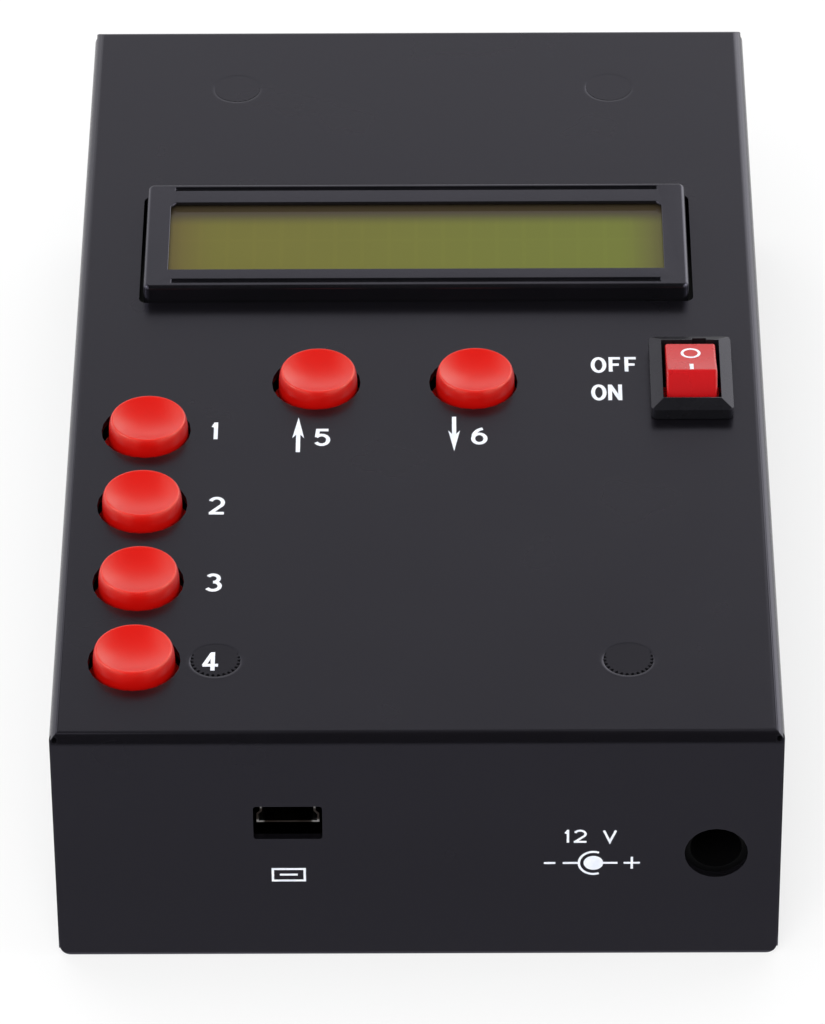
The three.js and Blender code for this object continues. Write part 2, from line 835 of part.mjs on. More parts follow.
// The dish is part of a sphere through the rim's inner edge
function capBody() {
  const rimInner = capRadius - 2 * capRim;
  const sphere = (rimInner * rimInner + capDish * capDish) / (2 * capDish);
  const spread = Math.asin(rimInner / sphere);
  const points = [[0, 0], [capFlange, 0], [capFlange, capFlangeHeight]];
  points.push([capRadius + capDraft, capFlangeHeight]);
  for (const turn of [0, Math.PI / 2, Math.PI]) {
    points.push([
      capRadius - capRim + capRim * Math.cos(turn),
      capHeight - capRim + capRim * Math.sin(turn),
    ]);
  }
  for (let step = 1; step <= dishSteps; step += 1) {
    const angle = spread * (1 - step / dishSteps);
    points.push([sphere * Math.sin(angle), capHeight - capRim - capDish + sphere * (1 - Math.cos(angle))]);
  }
  const socket = block(stemWidth + 2 * fitGap, stemWidth + 2 * fitGap, -overrun, socketDepth);
  return turned(points).subtract(socket);
}

// The switches are soldered by hand, so the buttons stand a little to the right in their holes
function pushButtons() {
  const plungerBottom = boardTop + seatGap + switchFloor + buttonTravel + wireGap;
  const stemTop = capBottom + socketDepth - seatGap;
  return buttonPlaces().flatMap(([holeX, y], index) => {
    const number = index + 1;
    const x = holeX + capPlay[index];
    const stem = plunger(plungerBottom, switchTop + plungerShoulder, stemTop);
    return [
      piece(`switch_body_${number}`, switchBody(), plastic(0x1a1a1c, 0.6), x, y, boardTop + seatGap),
      piece(`button_plunger_${number}`, stem, plastic(0x202022, 0.5), x, y),
      piece(`button_cap_${number}`, capBody(), plastic(0xe1322a, 0.35), x, y, capBottom),
    ];
  });
}

// Rocker switch: drawn with the panel's upper face at 0

function rockerHousing() {
  const slope = new THREE.ExtrudeGeometry(
    rectangle(frameWidth - 2 * frameSlopeRun, frameDepth - 2 * frameSlopeRun),
    { depth: frameSide, bevelSize: frameSlopeRun, bevelThickness: frameSlopeRise, bevelSegments: 1 },
  );
  const below = block(frameWidth + overrun, frameDepth + overrun, -frameSlopeRise - overrun, seatGap);
  const trim = raised(roundedRectangle(frameWidth, frameDepth, frameCorner), 0, frameSide + frameSlopeRise + overrun);
  const frame = cut(solidOf(slope), [below]).intersect(solidOf(trim));
  const bottom = housingBottom - caseHeight;
  const body = block(housingWidth, housingDepth, bottom, frameSide);
  const floorTop = housingFloorTop - caseHeight;
  const top = frameSide + frameSlopeRise + overrun;
  const cavity = block(cavityWidth, cavityDepth, floorTop, top);
  const holeReach = rockerWidth / 2 + pivotReach + 2 * fitGap;
  const pivots = postX(pivotRadius + fitGap, -holeReach, holeReach, 0, -rockerPivotDrop);
  const slots = [0, terminalReach].map((y) => (
    block(terminalWidth + 2 * fitGap, terminalThickness + 2 * fitGap, bottom - overrun, floorTop + overrun, 0, y)
  ));
  const notch = block(
    frameNotchWidth,
    frameSlopeRun,
    frameSide + frameSlopeRise - frameNotchDepth,
    top,
    frameNotchX,
    cavityDepth / 2,
  );
  const solid = cut(joined([frame, body, ...latches()]), [cavity, pivots, notch, ...slots]);
  return piece('rocker_housing', solid, plastic(0x232325, 0.45));
}

// A snap wedge on each short end, just under the panel
function latches() {
  const top = -sheet - holeGap;
  return [-1, 1].map((side) => {
    const root = side * (housingDepth / 2 - latchReach / 2);
    const shape = new THREE.Shape();
    shape.moveTo(root, top);
    shape.lineTo(side * (housingDepth / 2 + latchReach), top);
    shape.lineTo(root, top - latchHeight);
    shape.closePath();
    return solidOf(alongX(shape, -latchWidth / 2, latchWidth / 2));
  });
}

// Seen from the side, with the pivot at 0: a shallow V on top, and ends that bulge and stand upright at the pivot
function rockerOutline() {
  const lean = rockerEnd - rockerTopReach;
  const radius = (rockerTopHeight ** 2 + lean ** 2) / (2 * lean);
  const centre = rockerEnd - radius;
  const rise = Math.asin(rockerTopHeight / radius);
  const shape = new THREE.Shape();
  shape.moveTo(-rockerEnd, -rockerBelow);
  shape.lineTo(rockerEnd, -rockerBelow);
  shape.absarc(centre, 0, radius, 0, rise);
  shape.lineTo(0, rockerTopHeight - rockerValley);
  shape.lineTo(-rockerTopReach, rockerTopHeight);
  shape.absarc(-centre, 0, radius, Math.PI - rise, Math.PI);
  shape.closePath();
  return shape;
}

function rockerBody() {
  const body = solidOf(alongX(rockerOutline(), -rockerWidth / 2, rockerWidth / 2));
  const reach = rockerWidth / 2 + pivotReach;
  const pins = postX(pivotRadius, -reach, reach);
  const stalkPoints = [
    [0, -stalkReach],
    [stalkTip, -stalkReach],
    [stalkRadius, stalkTip - stalkReach],
    [stalkRadius, 0],
    [0, 0],
  ];
  return piece('rocker', joined([body, pins, turned(stalkPoints, smallSteps)]), plastic(0xc8202c, 0.35));
}

// The see-saw contact is a shallow V that rocks on the middle terminal
function contactBar() {
  const half = contactLength / 2;
  const rise = half * Math.tan(contactRise);
  const shape = new THREE.Shape();
  shape.moveTo(0, 0);
  shape.lineTo(half, rise);
  shape.lineTo(half, rise + contactThickness);
  shape.lineTo(0, contactThickness);
  shape.lineTo(-half, rise + contactThickness);
  shape.lineTo(-half, rise);
  shape.closePath();
  const bar = solidOf(alongX(shape, -contactWidth / 2, contactWidth / 2));
  return piece('rocker_contact', bar, metal(0xb98a4a));
}

function terminal(top) {
  const bottom = housingBottom - caseHeight - terminalLength;
  const blade = block(terminalWidth, terminalThickness, bottom, top);
  const hole = postY(terminalHole, -terminalThickness, terminalThickness, 0, bottom + terminalHoleUp, smallSteps);
  return blade.subtract(hole);
}

function rockerSwitch() {
  const group = new THREE.Group();
  group.position.set(rockerX, rockerY, caseHeight);
  const rocker = rockerBody();
  rocker.position.z = -rockerPivotDrop;
  rocker.rotation.x = -rockerTilt;
  const bar = contactBar();
  bar.position.z = contactPivot - caseHeight;
  bar.rotation.x = contactTilt;
  const top = contactPivot - caseHeight - terminalGap;
  const steel = () => metal(0xb0b0b2);
  group.add(
    rockerHousing(),
    rocker,
    bar,
    piece('rocker_terminal_1', terminal(top), steel()),
    piece('rocker_terminal_2', terminal(top), steel(), 0, terminalReach),
  );
  return group;
}

// Supply jack: drawn round the bore's axis, with the mouth at y = 0

function jackOutline() {
  const half = jackWidth / 2;
  const shape = new THREE.Shape();
  shape.moveTo(half, jackDrop - seatGap);
  shape.lineTo(-half, jackDrop - seatGap);
  shape.absarc(0, 0, half, Math.PI, 2 * Math.PI);
  shape.closePath();
  return shape;
}

function supplyJack() {
  const body = solidOf(alongY(jackOutline(), 0, jackLength, smallSteps));
  const bore = postY(jackBore, -overrun, jackBoreDepth);
  const pinHole = postY(jackPinRadius + fitGap, 0, jackLength + overrun, 0, 0, smallSteps);
  const slotWide = springWidth + 2 * fitGap;
  const slot = block(slotWide, 2 * jackBoreDepth, 0, jackBore + springSlotDepth, 0, 0);
  const pinTip = postY(jackPinRadius, jackPinInset, jackLength + jackPinTail, 0, 0, smallSteps);
  const springMiddle = jackBoreDepth - wireGap - springLength / 2;
  const group = new THREE.Group();
  group.position.set(jackX, frontInside + jackWallGap, jackHeight);
  group.add(
    piece('jack_body', cut(body, [bore, pinHole, slot]), plastic(0x161617, 0.5)),
    piece('jack_pin', pinTip, metal(0xc9c9cb, 0.2)),
    piece('jack_spring', jackSpring(), metal(0xc0b070, 0.3), 0, springMiddle, jackBore + springSlotDepth - fitGap),
  );
  return group;
}

// A leaf that bows down into the bore
function jackSpring() {
  const half = springLength / 2;
  const shape = new THREE.Shape();
  shape.moveTo(-half, 0);
  shape.quadraticCurveTo(0, -2 * springBow, half, 0);
  shape.lineTo(half, -springThickness);
  shape.quadraticCurveTo(0, -2 * springBow - springThickness, -half, -springThickness);
  shape.closePath();
  return solidOf(alongX(shape, -springWidth / 2, springWidth / 2));
}

// Data socket: its outline is wide below and narrow above, under the board

function socketOutline(inset) {
  const wide = socketWide / 2 - inset;
  const narrow = socketNarrow / 2 - inset;
  const shoulder = socketWideHeight - inset / 2;
  const shape = new THREE.Shape();
  shape.moveTo(-wide, inset);
  shape.lineTo(wide, inset);
  shape.lineTo(wide, shoulder);
  shape.lineTo(narrow, shoulder + socketShoulder);
  shape.lineTo(narrow, socketHeight - inset);
  shape.lineTo(-narrow, socketHeight - inset);
  shape.lineTo(-narrow, shoulder + socketShoulder);
  shape.lineTo(-wide, shoulder);
  shape.closePath();
  return shape;
}

function dataSocket() {
  const outside = solidOf(alongY(socketOutline(0), 0, socketLength));
  const inside = solidOf(alongY(socketOutline(socketWall), -overrun, socketLength - socketWall));
  const root = socketLength - socketWall - seatGap;
  const plug = solidOf(alongY(socketOutline(socketWall + seatGap), root - tongueRoot, root));
  const tongueTop = socketHeight - tongueDrop;
  const tongueLength = root - tongueInset;
  const tongue = block(
    tongueWidth, tongueLength, tongueTop - tongueThickness, tongueTop, 0, tongueInset + tongueLength / 2,
  );
  const group = new THREE.Group();
  group.position.set(socketX, frontInside + socketWallGap, socketUnder);
  group.add(
    piece('data_socket_shell', outside.subtract(inside), metal(0xc4c4c6, 0.25)),
    piece('data_socket_tongue', plug.add(tongue), plastic(0x1b1b1c, 0.5)),
  );
  return group;
}

// Antenna socket: turned pieces along Z here, laid along +Y by their group, with the wall's face at 0

function antennaShell() {
  const back = -sheet - antennaRearLength;
  const boreFloor = antennaLength - antennaBoreDepth;
  const body = turned([
    [antennaThroat, back],
    [antennaRear, back],
    [antennaRear, seatGap],
    [antennaBarrel, seatGap],
    [antennaBarrel, antennaLength - antennaChamfer],
    [antennaBarrel - antennaChamfer, antennaLength],
    [antennaBore, antennaLength],
    [antennaBore, boreFloor],
    [antennaThroat, boreFloor],
    [antennaThroat, back],
  ]);
  const square = roundedRectangle(antennaFlange, antennaFlange, antennaFlangeCorner);
  const flange = solidOf(raised(square, seatGap, antennaFlangeThickness));
  const throat = postZ(antennaThroat, 0, antennaFlangeThickness + overrun);
  const [below, above] = [-overrun, antennaFlangeThickness + overrun];
  const holes = fourPlaces(antennaScrewPitch, antennaScrewPitch).map(([x, y]) => (
    postZ(screwHole, below, above, x, y, smallSteps)
  ));
  const notches = [Math.PI / 4, (3 * Math.PI) / 4].map((turn) => (
    block(3 * antennaBarrel, antennaNotch, antennaLength - antennaNotchDepth, antennaLength + overrun)
      .rotate([0, 0, THREE.MathUtils.radToDeg(turn)])
  ));
  return cut(body.add(cut(flange, [throat, ...holes])), notches);
}

function antennaInsulator() {
  const back = -sheet - antennaRearLength + seatGap;
  const nose = antennaLength - antennaBoreDepth + insulatorNose;
  const outer = antennaThroat - fitGap;
  return turned([
    [contactRadius + fitGap, back],
    [outer, back],
    [outer, nose],
    [contactRadius + fitGap, nose],
    [contactRadius + fitGap, back],
  ]);
}

function antennaContact() {
  const back = -sheet - antennaRearLength;
  const tip = antennaLength - contactInset;
  const cupEnd = back - cupLength;
  const body = turned([
    [cupBore, cupEnd],
    [cupRadius, cupEnd],
    [cupRadius, back],
    [contactRadius, back],
    [contactRadius, tip],
    [contactBore, tip],
    [contactBore, tip - contactBoreDepth],
    [0, tip - contactBoreDepth],
    [0, cupEnd + cupBoreDepth],
    [cupBore, cupEnd + cupBoreDepth],
    [cupBore, cupEnd],
  ], roundSteps);
  const slots = [0, 90].map((degrees) => (
    block(3 * contactRadius, contactSlot, tip - contactSlotDepth, tip + overrun).rotate([0, 0, degrees])
  ));
  return cut(body, slots);
}

function antennaSocket() {
  const group = new THREE.Group();
  group.position.set(0, rearFace, antennaHeight);
  group.rotation.x = -Math.PI / 2;
  group.add(
    piece('antenna_socket', antennaShell(), metal(0xc9c9cc, 0.25)),
    piece('antenna_insulator', antennaInsulator(), plastic(0xe8e4da, 0.5)),
    piece('antenna_contact', antennaContact(), metal(0xd0b060, 0.3)),
  );
  const length = antennaFlangeThickness + seatGap + sheet + nutHeight + screwTip;
  fourPlaces(antennaScrewPitch, antennaScrewPitch).forEach(([x, y], index) => {
    const z = antennaFlangeThickness + seatGap;
    group.add(piece(`antenna_screw_${index + 1}`, panScrew(length), metal(0xbcbcbe), x, y, z));
  });
  return group;
}

// Chips and leads

function chip(name, width, length, thickness, x, y) {
  const body = block(width, length, boardUnder - seatGap - thickness, boardUnder - seatGap);
  const mark = block(chipChamfer, chipChamfer, boardUnder - 2 * thickness, boardUnder);
  const corner = mark.rotate([0, 0, 45]).translate([-width / 2, length / 2, 0]);
  return piece(name, body.subtract(corner), plastic(0x17171a, 0.6), x, y);
}

function wire(name, points, radius, color) {
  const path = new THREE.CatmullRomCurve3(points.map((point) => new THREE.Vector3(...point)));
  const section = new THREE.Shape().absarc(0, 0, radius, 0, 2 * Math.PI);
  const curveSegments = wireSides / 2;
  const tube = new THREE.ExtrudeGeometry(section, { extrudePath: path, steps: wireSteps, curveSegments });
  return piece(name, solidOf(tube), plastic(color, 0.5));
}

function antennaLead() {
  const start = rearFace - sheet - antennaRearLength - cupLength - wireGap;
  const end = start - antennaWireRun;
  const top = boardUnder - wireGap;
  const climb = top - antennaHeight;
  return wire('antenna_lead', [
    [0, start, antennaHeight],
    [0, start - antennaWireRun * 0.6, antennaHeight + climb * 0.12],
    [0, end, antennaHeight + climb * 0.5],
    [0, end, top],
  ], antennaWire, 0xd8d8d0);
}

function switchLeads() {
  const low = housingBottom - terminalLength + terminalHoleUp;
  const top = boardUnder - wireGap;
  const start = rockerX - terminalWidth / 2 - wireGap;
  const end = start - switchWireReach;
  return [0, terminalReach].map((y, index) => wire(`switch_lead_${index + 1}`, [
    [start, rockerY + y, low],
    [start - switchWireReach * 0.6, rockerY + y, low + (top - low) * 0.12],
    [end, rockerY + y, low + (top - low) * 0.5],
    [end, rockerY + y, top],
  ], switchWire, index === 0 ? 0xb02020 : 0x202020));
}

const analyzer = new THREE.Group();
analyzer.add(
  topCover(),
  bottomCover(),
  ...coverScrews(),
  mainBoard(),
  ...boardHangers(),
  ...displayModule(),
  ...pushButtons(),
  rockerSwitch(),
  supplyJack(),
  dataSocket(),
  antennaSocket(),
  chip('controller_chip', controllerSize, controllerSize, controllerThickness, controllerX, controllerY),
  chip(
    'synthesizer_chip', synthesizerWidth, synthesizerLength, synthesizerThickness, synthesizerX, synthesizerY,
  ),
  antennaLead(),
  ...switchLeads(),
);

export default analyzer;
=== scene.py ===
# %% [markdown]
# # Dressing an antenna analyzer
# The solids of this small radio instrument come packed, each one in its place. Blender gives them their
# looks: rounded edges, turned and moulded detail, printed signs and finishes. Nothing is fitted by eye,
# because every object here shares the frame of the solids: metres, +Y towards the antenna end, +Z up.

# %% Load the solids
import json
import math

import bmesh
import bpy
from mathutils import Matrix, Vector


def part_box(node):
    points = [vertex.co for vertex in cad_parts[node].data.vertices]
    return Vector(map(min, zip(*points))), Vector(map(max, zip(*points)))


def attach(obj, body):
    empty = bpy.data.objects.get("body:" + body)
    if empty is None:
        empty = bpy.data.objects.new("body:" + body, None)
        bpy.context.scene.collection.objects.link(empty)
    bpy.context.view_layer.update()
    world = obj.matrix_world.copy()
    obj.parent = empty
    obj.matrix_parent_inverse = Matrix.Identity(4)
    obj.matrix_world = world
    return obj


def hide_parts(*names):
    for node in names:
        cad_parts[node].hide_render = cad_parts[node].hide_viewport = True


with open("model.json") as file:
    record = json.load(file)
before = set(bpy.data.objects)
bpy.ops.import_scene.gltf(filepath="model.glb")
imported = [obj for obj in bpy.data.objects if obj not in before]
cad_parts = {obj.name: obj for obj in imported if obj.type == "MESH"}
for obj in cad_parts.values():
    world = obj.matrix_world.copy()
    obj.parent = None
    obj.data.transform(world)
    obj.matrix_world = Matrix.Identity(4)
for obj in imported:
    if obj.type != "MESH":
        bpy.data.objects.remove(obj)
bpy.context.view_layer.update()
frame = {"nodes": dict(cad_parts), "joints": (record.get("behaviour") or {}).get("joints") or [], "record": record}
MM = 0.001
scene = bpy.context.scene

# %% [markdown]
# ## The camera first
# A product photograph is taken from far away with a long lens, so that the box hardly narrows towards its
# back. The lens is given for the long side of the picture, and the three angles turn the camera in the
# order in which a tripod head works: swing round, tip down, then a trace of roll.

# %% Camera
LENS_MM = 247.45
EYE = Vector((4.20, -728.29, 579.00)) * MM
SWING, TIP, ROLL = (math.radians(angle) for angle in (0.396, 38.005, -0.434))

camera_data = bpy.data.cameras.new("photo_camera")
camera_data.lens = LENS_MM
camera_data.sensor_width = 36
camera_data.clip_start = 0.05
camera = bpy.data.objects.new("photo_camera", camera_data)
scene.collection.objects.link(camera)
camera.matrix_world = (
    Matrix.Translation(EYE)
    @ Matrix.Rotation(SWING, 4, "Z")
    @ Matrix.Rotation(math.pi / 2 - TIP, 4, "X")
    @ Matrix.Rotation(ROLL, 4, "Z")
)
scene.camera = camera
print("camera at", tuple(round(value, 4) for value in EYE))

# %% [markdown]
# ## A white sweep
# The instrument lies on white. A light table could be copied with strong lamps from below, but those would
# tint the box too. Instead the floor and the world are white for the rays that look straight at them or see
# them in a gloss, while the box itself is lit by a much dimmer world. The floor keeps a part of its real
# shading, which is where the soft shadow comes from.

# %% World and floor
scene.view_settings.view_transform = "Standard"


def node(tree, kind, **settings):
    made = tree.nodes.new(kind)
    for key, value in settings.items():
        setattr(made, key, value)
    return made


def seen_directly(tree):
    """1 for the rays of the camera and for those that come by a gloss or through glass."""
    path = node(tree, "ShaderNodeLightPath")
    first = node(tree, "ShaderNodeMath", operation="MAXIMUM")
    second = node(tree, "ShaderNodeMath", operation="MAXIMUM")
    tree.links.new(path.outputs["Is Camera Ray"], first.inputs[0])
    tree.links.new(path.outputs["Is Glossy Ray"], first.inputs[1])
    tree.links.new(first.outputs[0], second.inputs[0])
    tree.links.new(path.outputs["Is Transmission Ray"], second.inputs[1])
    return second.outputs[0]


SKY_LEVEL = 0.42
world = bpy.data.worlds.new("studio")
world.use_nodes = True
scene.world = world
sky = world.node_tree
sky.nodes["Background"].inputs["Color"].default_value = (1, 1, 1, 1)
level = node(sky, "ShaderNodeMapRange")
level.inputs["To Min"].default_value = SKY_LEVEL
level.inputs["To Max"].default_value = 1
sky.links.new(seen_directly(sky), level.inputs["Value"])
sky.links.new(level.outputs[0], sky.nodes["Background"].inputs["Strength"])

FLOOR_HALF, FLOOR_GAP, FLOOR_GLOW, PAPER_WHITE = 4, 0.05 * MM, 0.66, 0.95
floor_paper = bpy.data.materials.new("white_paper")
floor_paper.use_nodes = True
paper = floor_paper.node_tree
paper.nodes.remove(paper.nodes["Principled BSDF"])
matte = node(paper, "ShaderNodeBsdfDiffuse")
matte.inputs["Color"].default_value = (PAPER_WHITE, PAPER_WHITE, PAPER_WHITE, 1)
glow = node(paper, "ShaderNodeEmission")
glow.inputs["Color"].default_value = (1, 1, 1, 1)
share = node(paper, "ShaderNodeMath", operation="MULTIPLY")
share.inputs[1].default_value = FLOOR_GLOW
blend = node(paper, "ShaderNodeMixShader")
paper.links.new(seen_directly(paper), share.inputs[0])
paper.links.new(share.outputs[0], blend.inputs[0])
paper.links.new(matte.outputs[0], blend.inputs[1])
paper.links.new(glow.outputs[0], blend.inputs[2])
paper.links.new(blend.outputs[0], paper.nodes["Material Output"].inputs["Surface"])

bm = bmesh.new()
bmesh.ops.create_grid(bm, x_segments=1, y_segments=1, size=FLOOR_HALF)
floor_mesh = bpy.data.meshes.new("floor")
bm.to_mesh(floor_mesh)
bm.free()
floor_mesh.materials.append(floor_paper)
floor = bpy.data.objects.new("floor", floor_mesh)
scene.collection.objects.link(floor)
floor.location.z = -FLOOR_GAP
print("floor glow", FLOOR_GLOW, "sky level", SKY_LEVEL)

# %% [markdown]
# ## Soft lamps
# The front sides of the buttons are lit nearly as well as their dishes, so there is a big soft light rather
# low above the front, and a second one above the back. They would show as spots in the gloss, so they are
# left out of the mirror images. Two small boxes at the sides do show in it: they draw the short light arcs
# on the near rim of each button. Two large and low ones stand behind the sides and light the slopes of the
# dishes. Only the right one is mirrored too, which lights the bend at the right. An area lamp lights a matt
# surface as if by daylight when its power is pi squared times the distance squared, so each power is
# written as a share of that.

# %% Lamps
LAMPS = {
    "front_sky": ((-0.15, -0.90, 0.85), 0.9, 0.60, False),
    "back_sky": ((-0.10, 0.45, 1.05), 0.9, 0.30, False),
    "left_softbox": ((-1.00, -0.15, 0.62), 0.35, 0.14, True),
    "right_softbox": ((1.00, -0.10, 0.62), 0.35, 0.14, True),
    "left_rim": ((-0.82, 1.00, 0.30), 1.0, 0.20, False),
    "right_rim": ((0.82, 1.00, 0.30), 1.3, 0.28, True),
}
for name, (place, size, daylight, mirrored) in LAMPS.items():
    lamp = bpy.data.lights.new(name, "AREA")
    lamp.shape = "SQUARE"
    lamp.size = size
    place = Vector(place)
    lamp.energy = daylight * math.pi ** 2 * place.length_squared
    lamp.cycles.use_multiple_importance_sampling = mirrored
    holder = bpy.data.objects.new(name, lamp)
    holder.location = place
    holder.rotation_euler = (-place).to_track_quat("-Z", "Y").to_euler()
    holder.visible_glossy = mirrored
    scene.collection.objects.link(holder)
    print(name, "power", round(lamp.energy, 2), "W")

# %% [markdown]
# A bend that faces the camera mirrors what is in front and overhead, and a flat panel mirrors the backdrop.
# In the photograph the one is nearly black and the other is a middle grey that pales towards the back. So a
# long card arches over the scene from the back horizon to the floor before the object. Its greys go by the
# angle at which the front bend sees them, counted up from the back horizon: white, then grey, black
# overhead and in front, and again grey down where the front wall is mirrored. Only mirror images see the
# card. It leaves the sides open to the white world, which draws the light side edges.

# %% Graded card
CARD_REACH, CARD_HALF, CARD_FOLDS, CARD_TURN = 2.4, 1.05, 12, 270
CARD_GAP, CARD_LIFT = 0.1 * MM, 0.2 * MM
CARD_GREYS = {
    0: 1.0, 20: 0.92, 30: 0.66, 34: 0.56, 38: 0.4, 42: 0.34, 48: 0.2, 58: 0.1, 66: 0.04, 80: 0.0,
    186: 0.0, 198: 0.16, 210: 0.3, 218: 0.37, 226: 0.35, 245: 0.31, 270: 0.32,
}


def points_of(made):
    """The points among what an operator made."""
    return [item for item in made if isinstance(item, bmesh.types.BMVert)]


cover_low, cover_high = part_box("top_cover")
bend = Vector((0, cover_low.y, cover_high.z))
graded = bpy.data.materials.new("graded_card")
graded.use_nodes = True
shades = graded.node_tree
shades.nodes.remove(shades.nodes["Principled BSDF"])
from_bend = node(shades, "ShaderNodeVectorMath", operation="SUBTRACT")
from_bend.inputs[1].default_value = bend
card_parts = node(shades, "ShaderNodeSeparateXYZ")
from_upright = node(shades, "ShaderNodeMath", operation="ARCTAN2")
climbed = node(shades, "ShaderNodeMapRange")
climbed.inputs["From Min"].default_value = math.radians(90)
climbed.inputs["From Max"].default_value = math.radians(90 - CARD_TURN)
greys = node(shades, "ShaderNodeValToRGB")
stops = greys.color_ramp.elements
stops.remove(stops[0])
for number, (climb, grey) in enumerate(CARD_GREYS.items()):
    stop = stops[0] if number == 0 else stops.new(climb / CARD_TURN)
    stop.position = climb / CARD_TURN
    stop.color = (grey, grey, grey, 1)
card_light = node(shades, "ShaderNodeEmission")
shades.links.new(node(shades, "ShaderNodeTexCoord").outputs["Object"], from_bend.inputs[0])
shades.links.new(from_bend.outputs[0], card_parts.inputs[0])
shades.links.new(card_parts.outputs["Y"], from_upright.inputs[0])
shades.links.new(card_parts.outputs["Z"], from_upright.inputs[1])
shades.links.new(from_upright.outputs[0], climbed.inputs["Value"])
shades.links.new(climbed.outputs[0], greys.inputs[0])
shades.links.new(greys.outputs[0], card_light.inputs["Color"])
shades.links.new(card_light.outputs[0], shades.nodes["Material Output"].inputs["Surface"])
bm = bmesh.new()
corners = [bm.verts.new((-CARD_HALF, cover_low.y - CARD_GAP, CARD_LIFT))]
for fold in range(CARD_FOLDS + 1):
    climb = math.pi * fold / CARD_FOLDS
    y, z = -CARD_REACH * math.cos(climb), CARD_REACH * math.sin(climb) + CARD_LIFT
    corners.append(bm.verts.new((-CARD_HALF, y, z)))
strip = [bm.edges.new(pair) for pair in zip(corners, corners[1:])]
wide = bmesh.ops.extrude_edge_only(bm, edges=strip)["geom"]
bmesh.ops.translate(bm, vec=(2 * CARD_HALF, 0, 0), verts=points_of(wide))
card_mesh = bpy.data.meshes.new("graded_card")
bm.to_mesh(card_mesh)
bm.free()
card_mesh.materials.append(graded)
card = bpy.data.objects.new("graded_card", card_mesh)
scene.collection.objects.link(card)
card.visible_camera = False
card.visible_diffuse = False
card.visible_shadow = False
print("card", 2 * CARD_HALF, "m wide")

# %% [markdown]
# ## Finishes from nodes
# A finish is never one flat colour. Each one here is a Principled shader whose colour, roughness and bump
# are stirred by noise on Object coordinates. These are metres, so a scale of 1000 gives a grain of about a
# millimetre. A small class holds the shader, and each of its steps adds one thing to it, so that a finish
# reads as a sentence: its colour, how it mottles, where its edges are lightened by wear, and on the caps by a
# painted highlight, how its gloss varies and how fine its grain is. Numbers that are the same all over stay on the
# shader itself.

# %% A shader with grain


def srgb(red, green, blue):
    """A screen colour, 0 to 255, as the linear colour that shaders work in."""
    linear = [((v / 255 + 0.055) / 1.055) ** 2.4 if v > 10 else v / 255 / 12.92 for v in (red, green, blue)]
    return (*linear, 1)


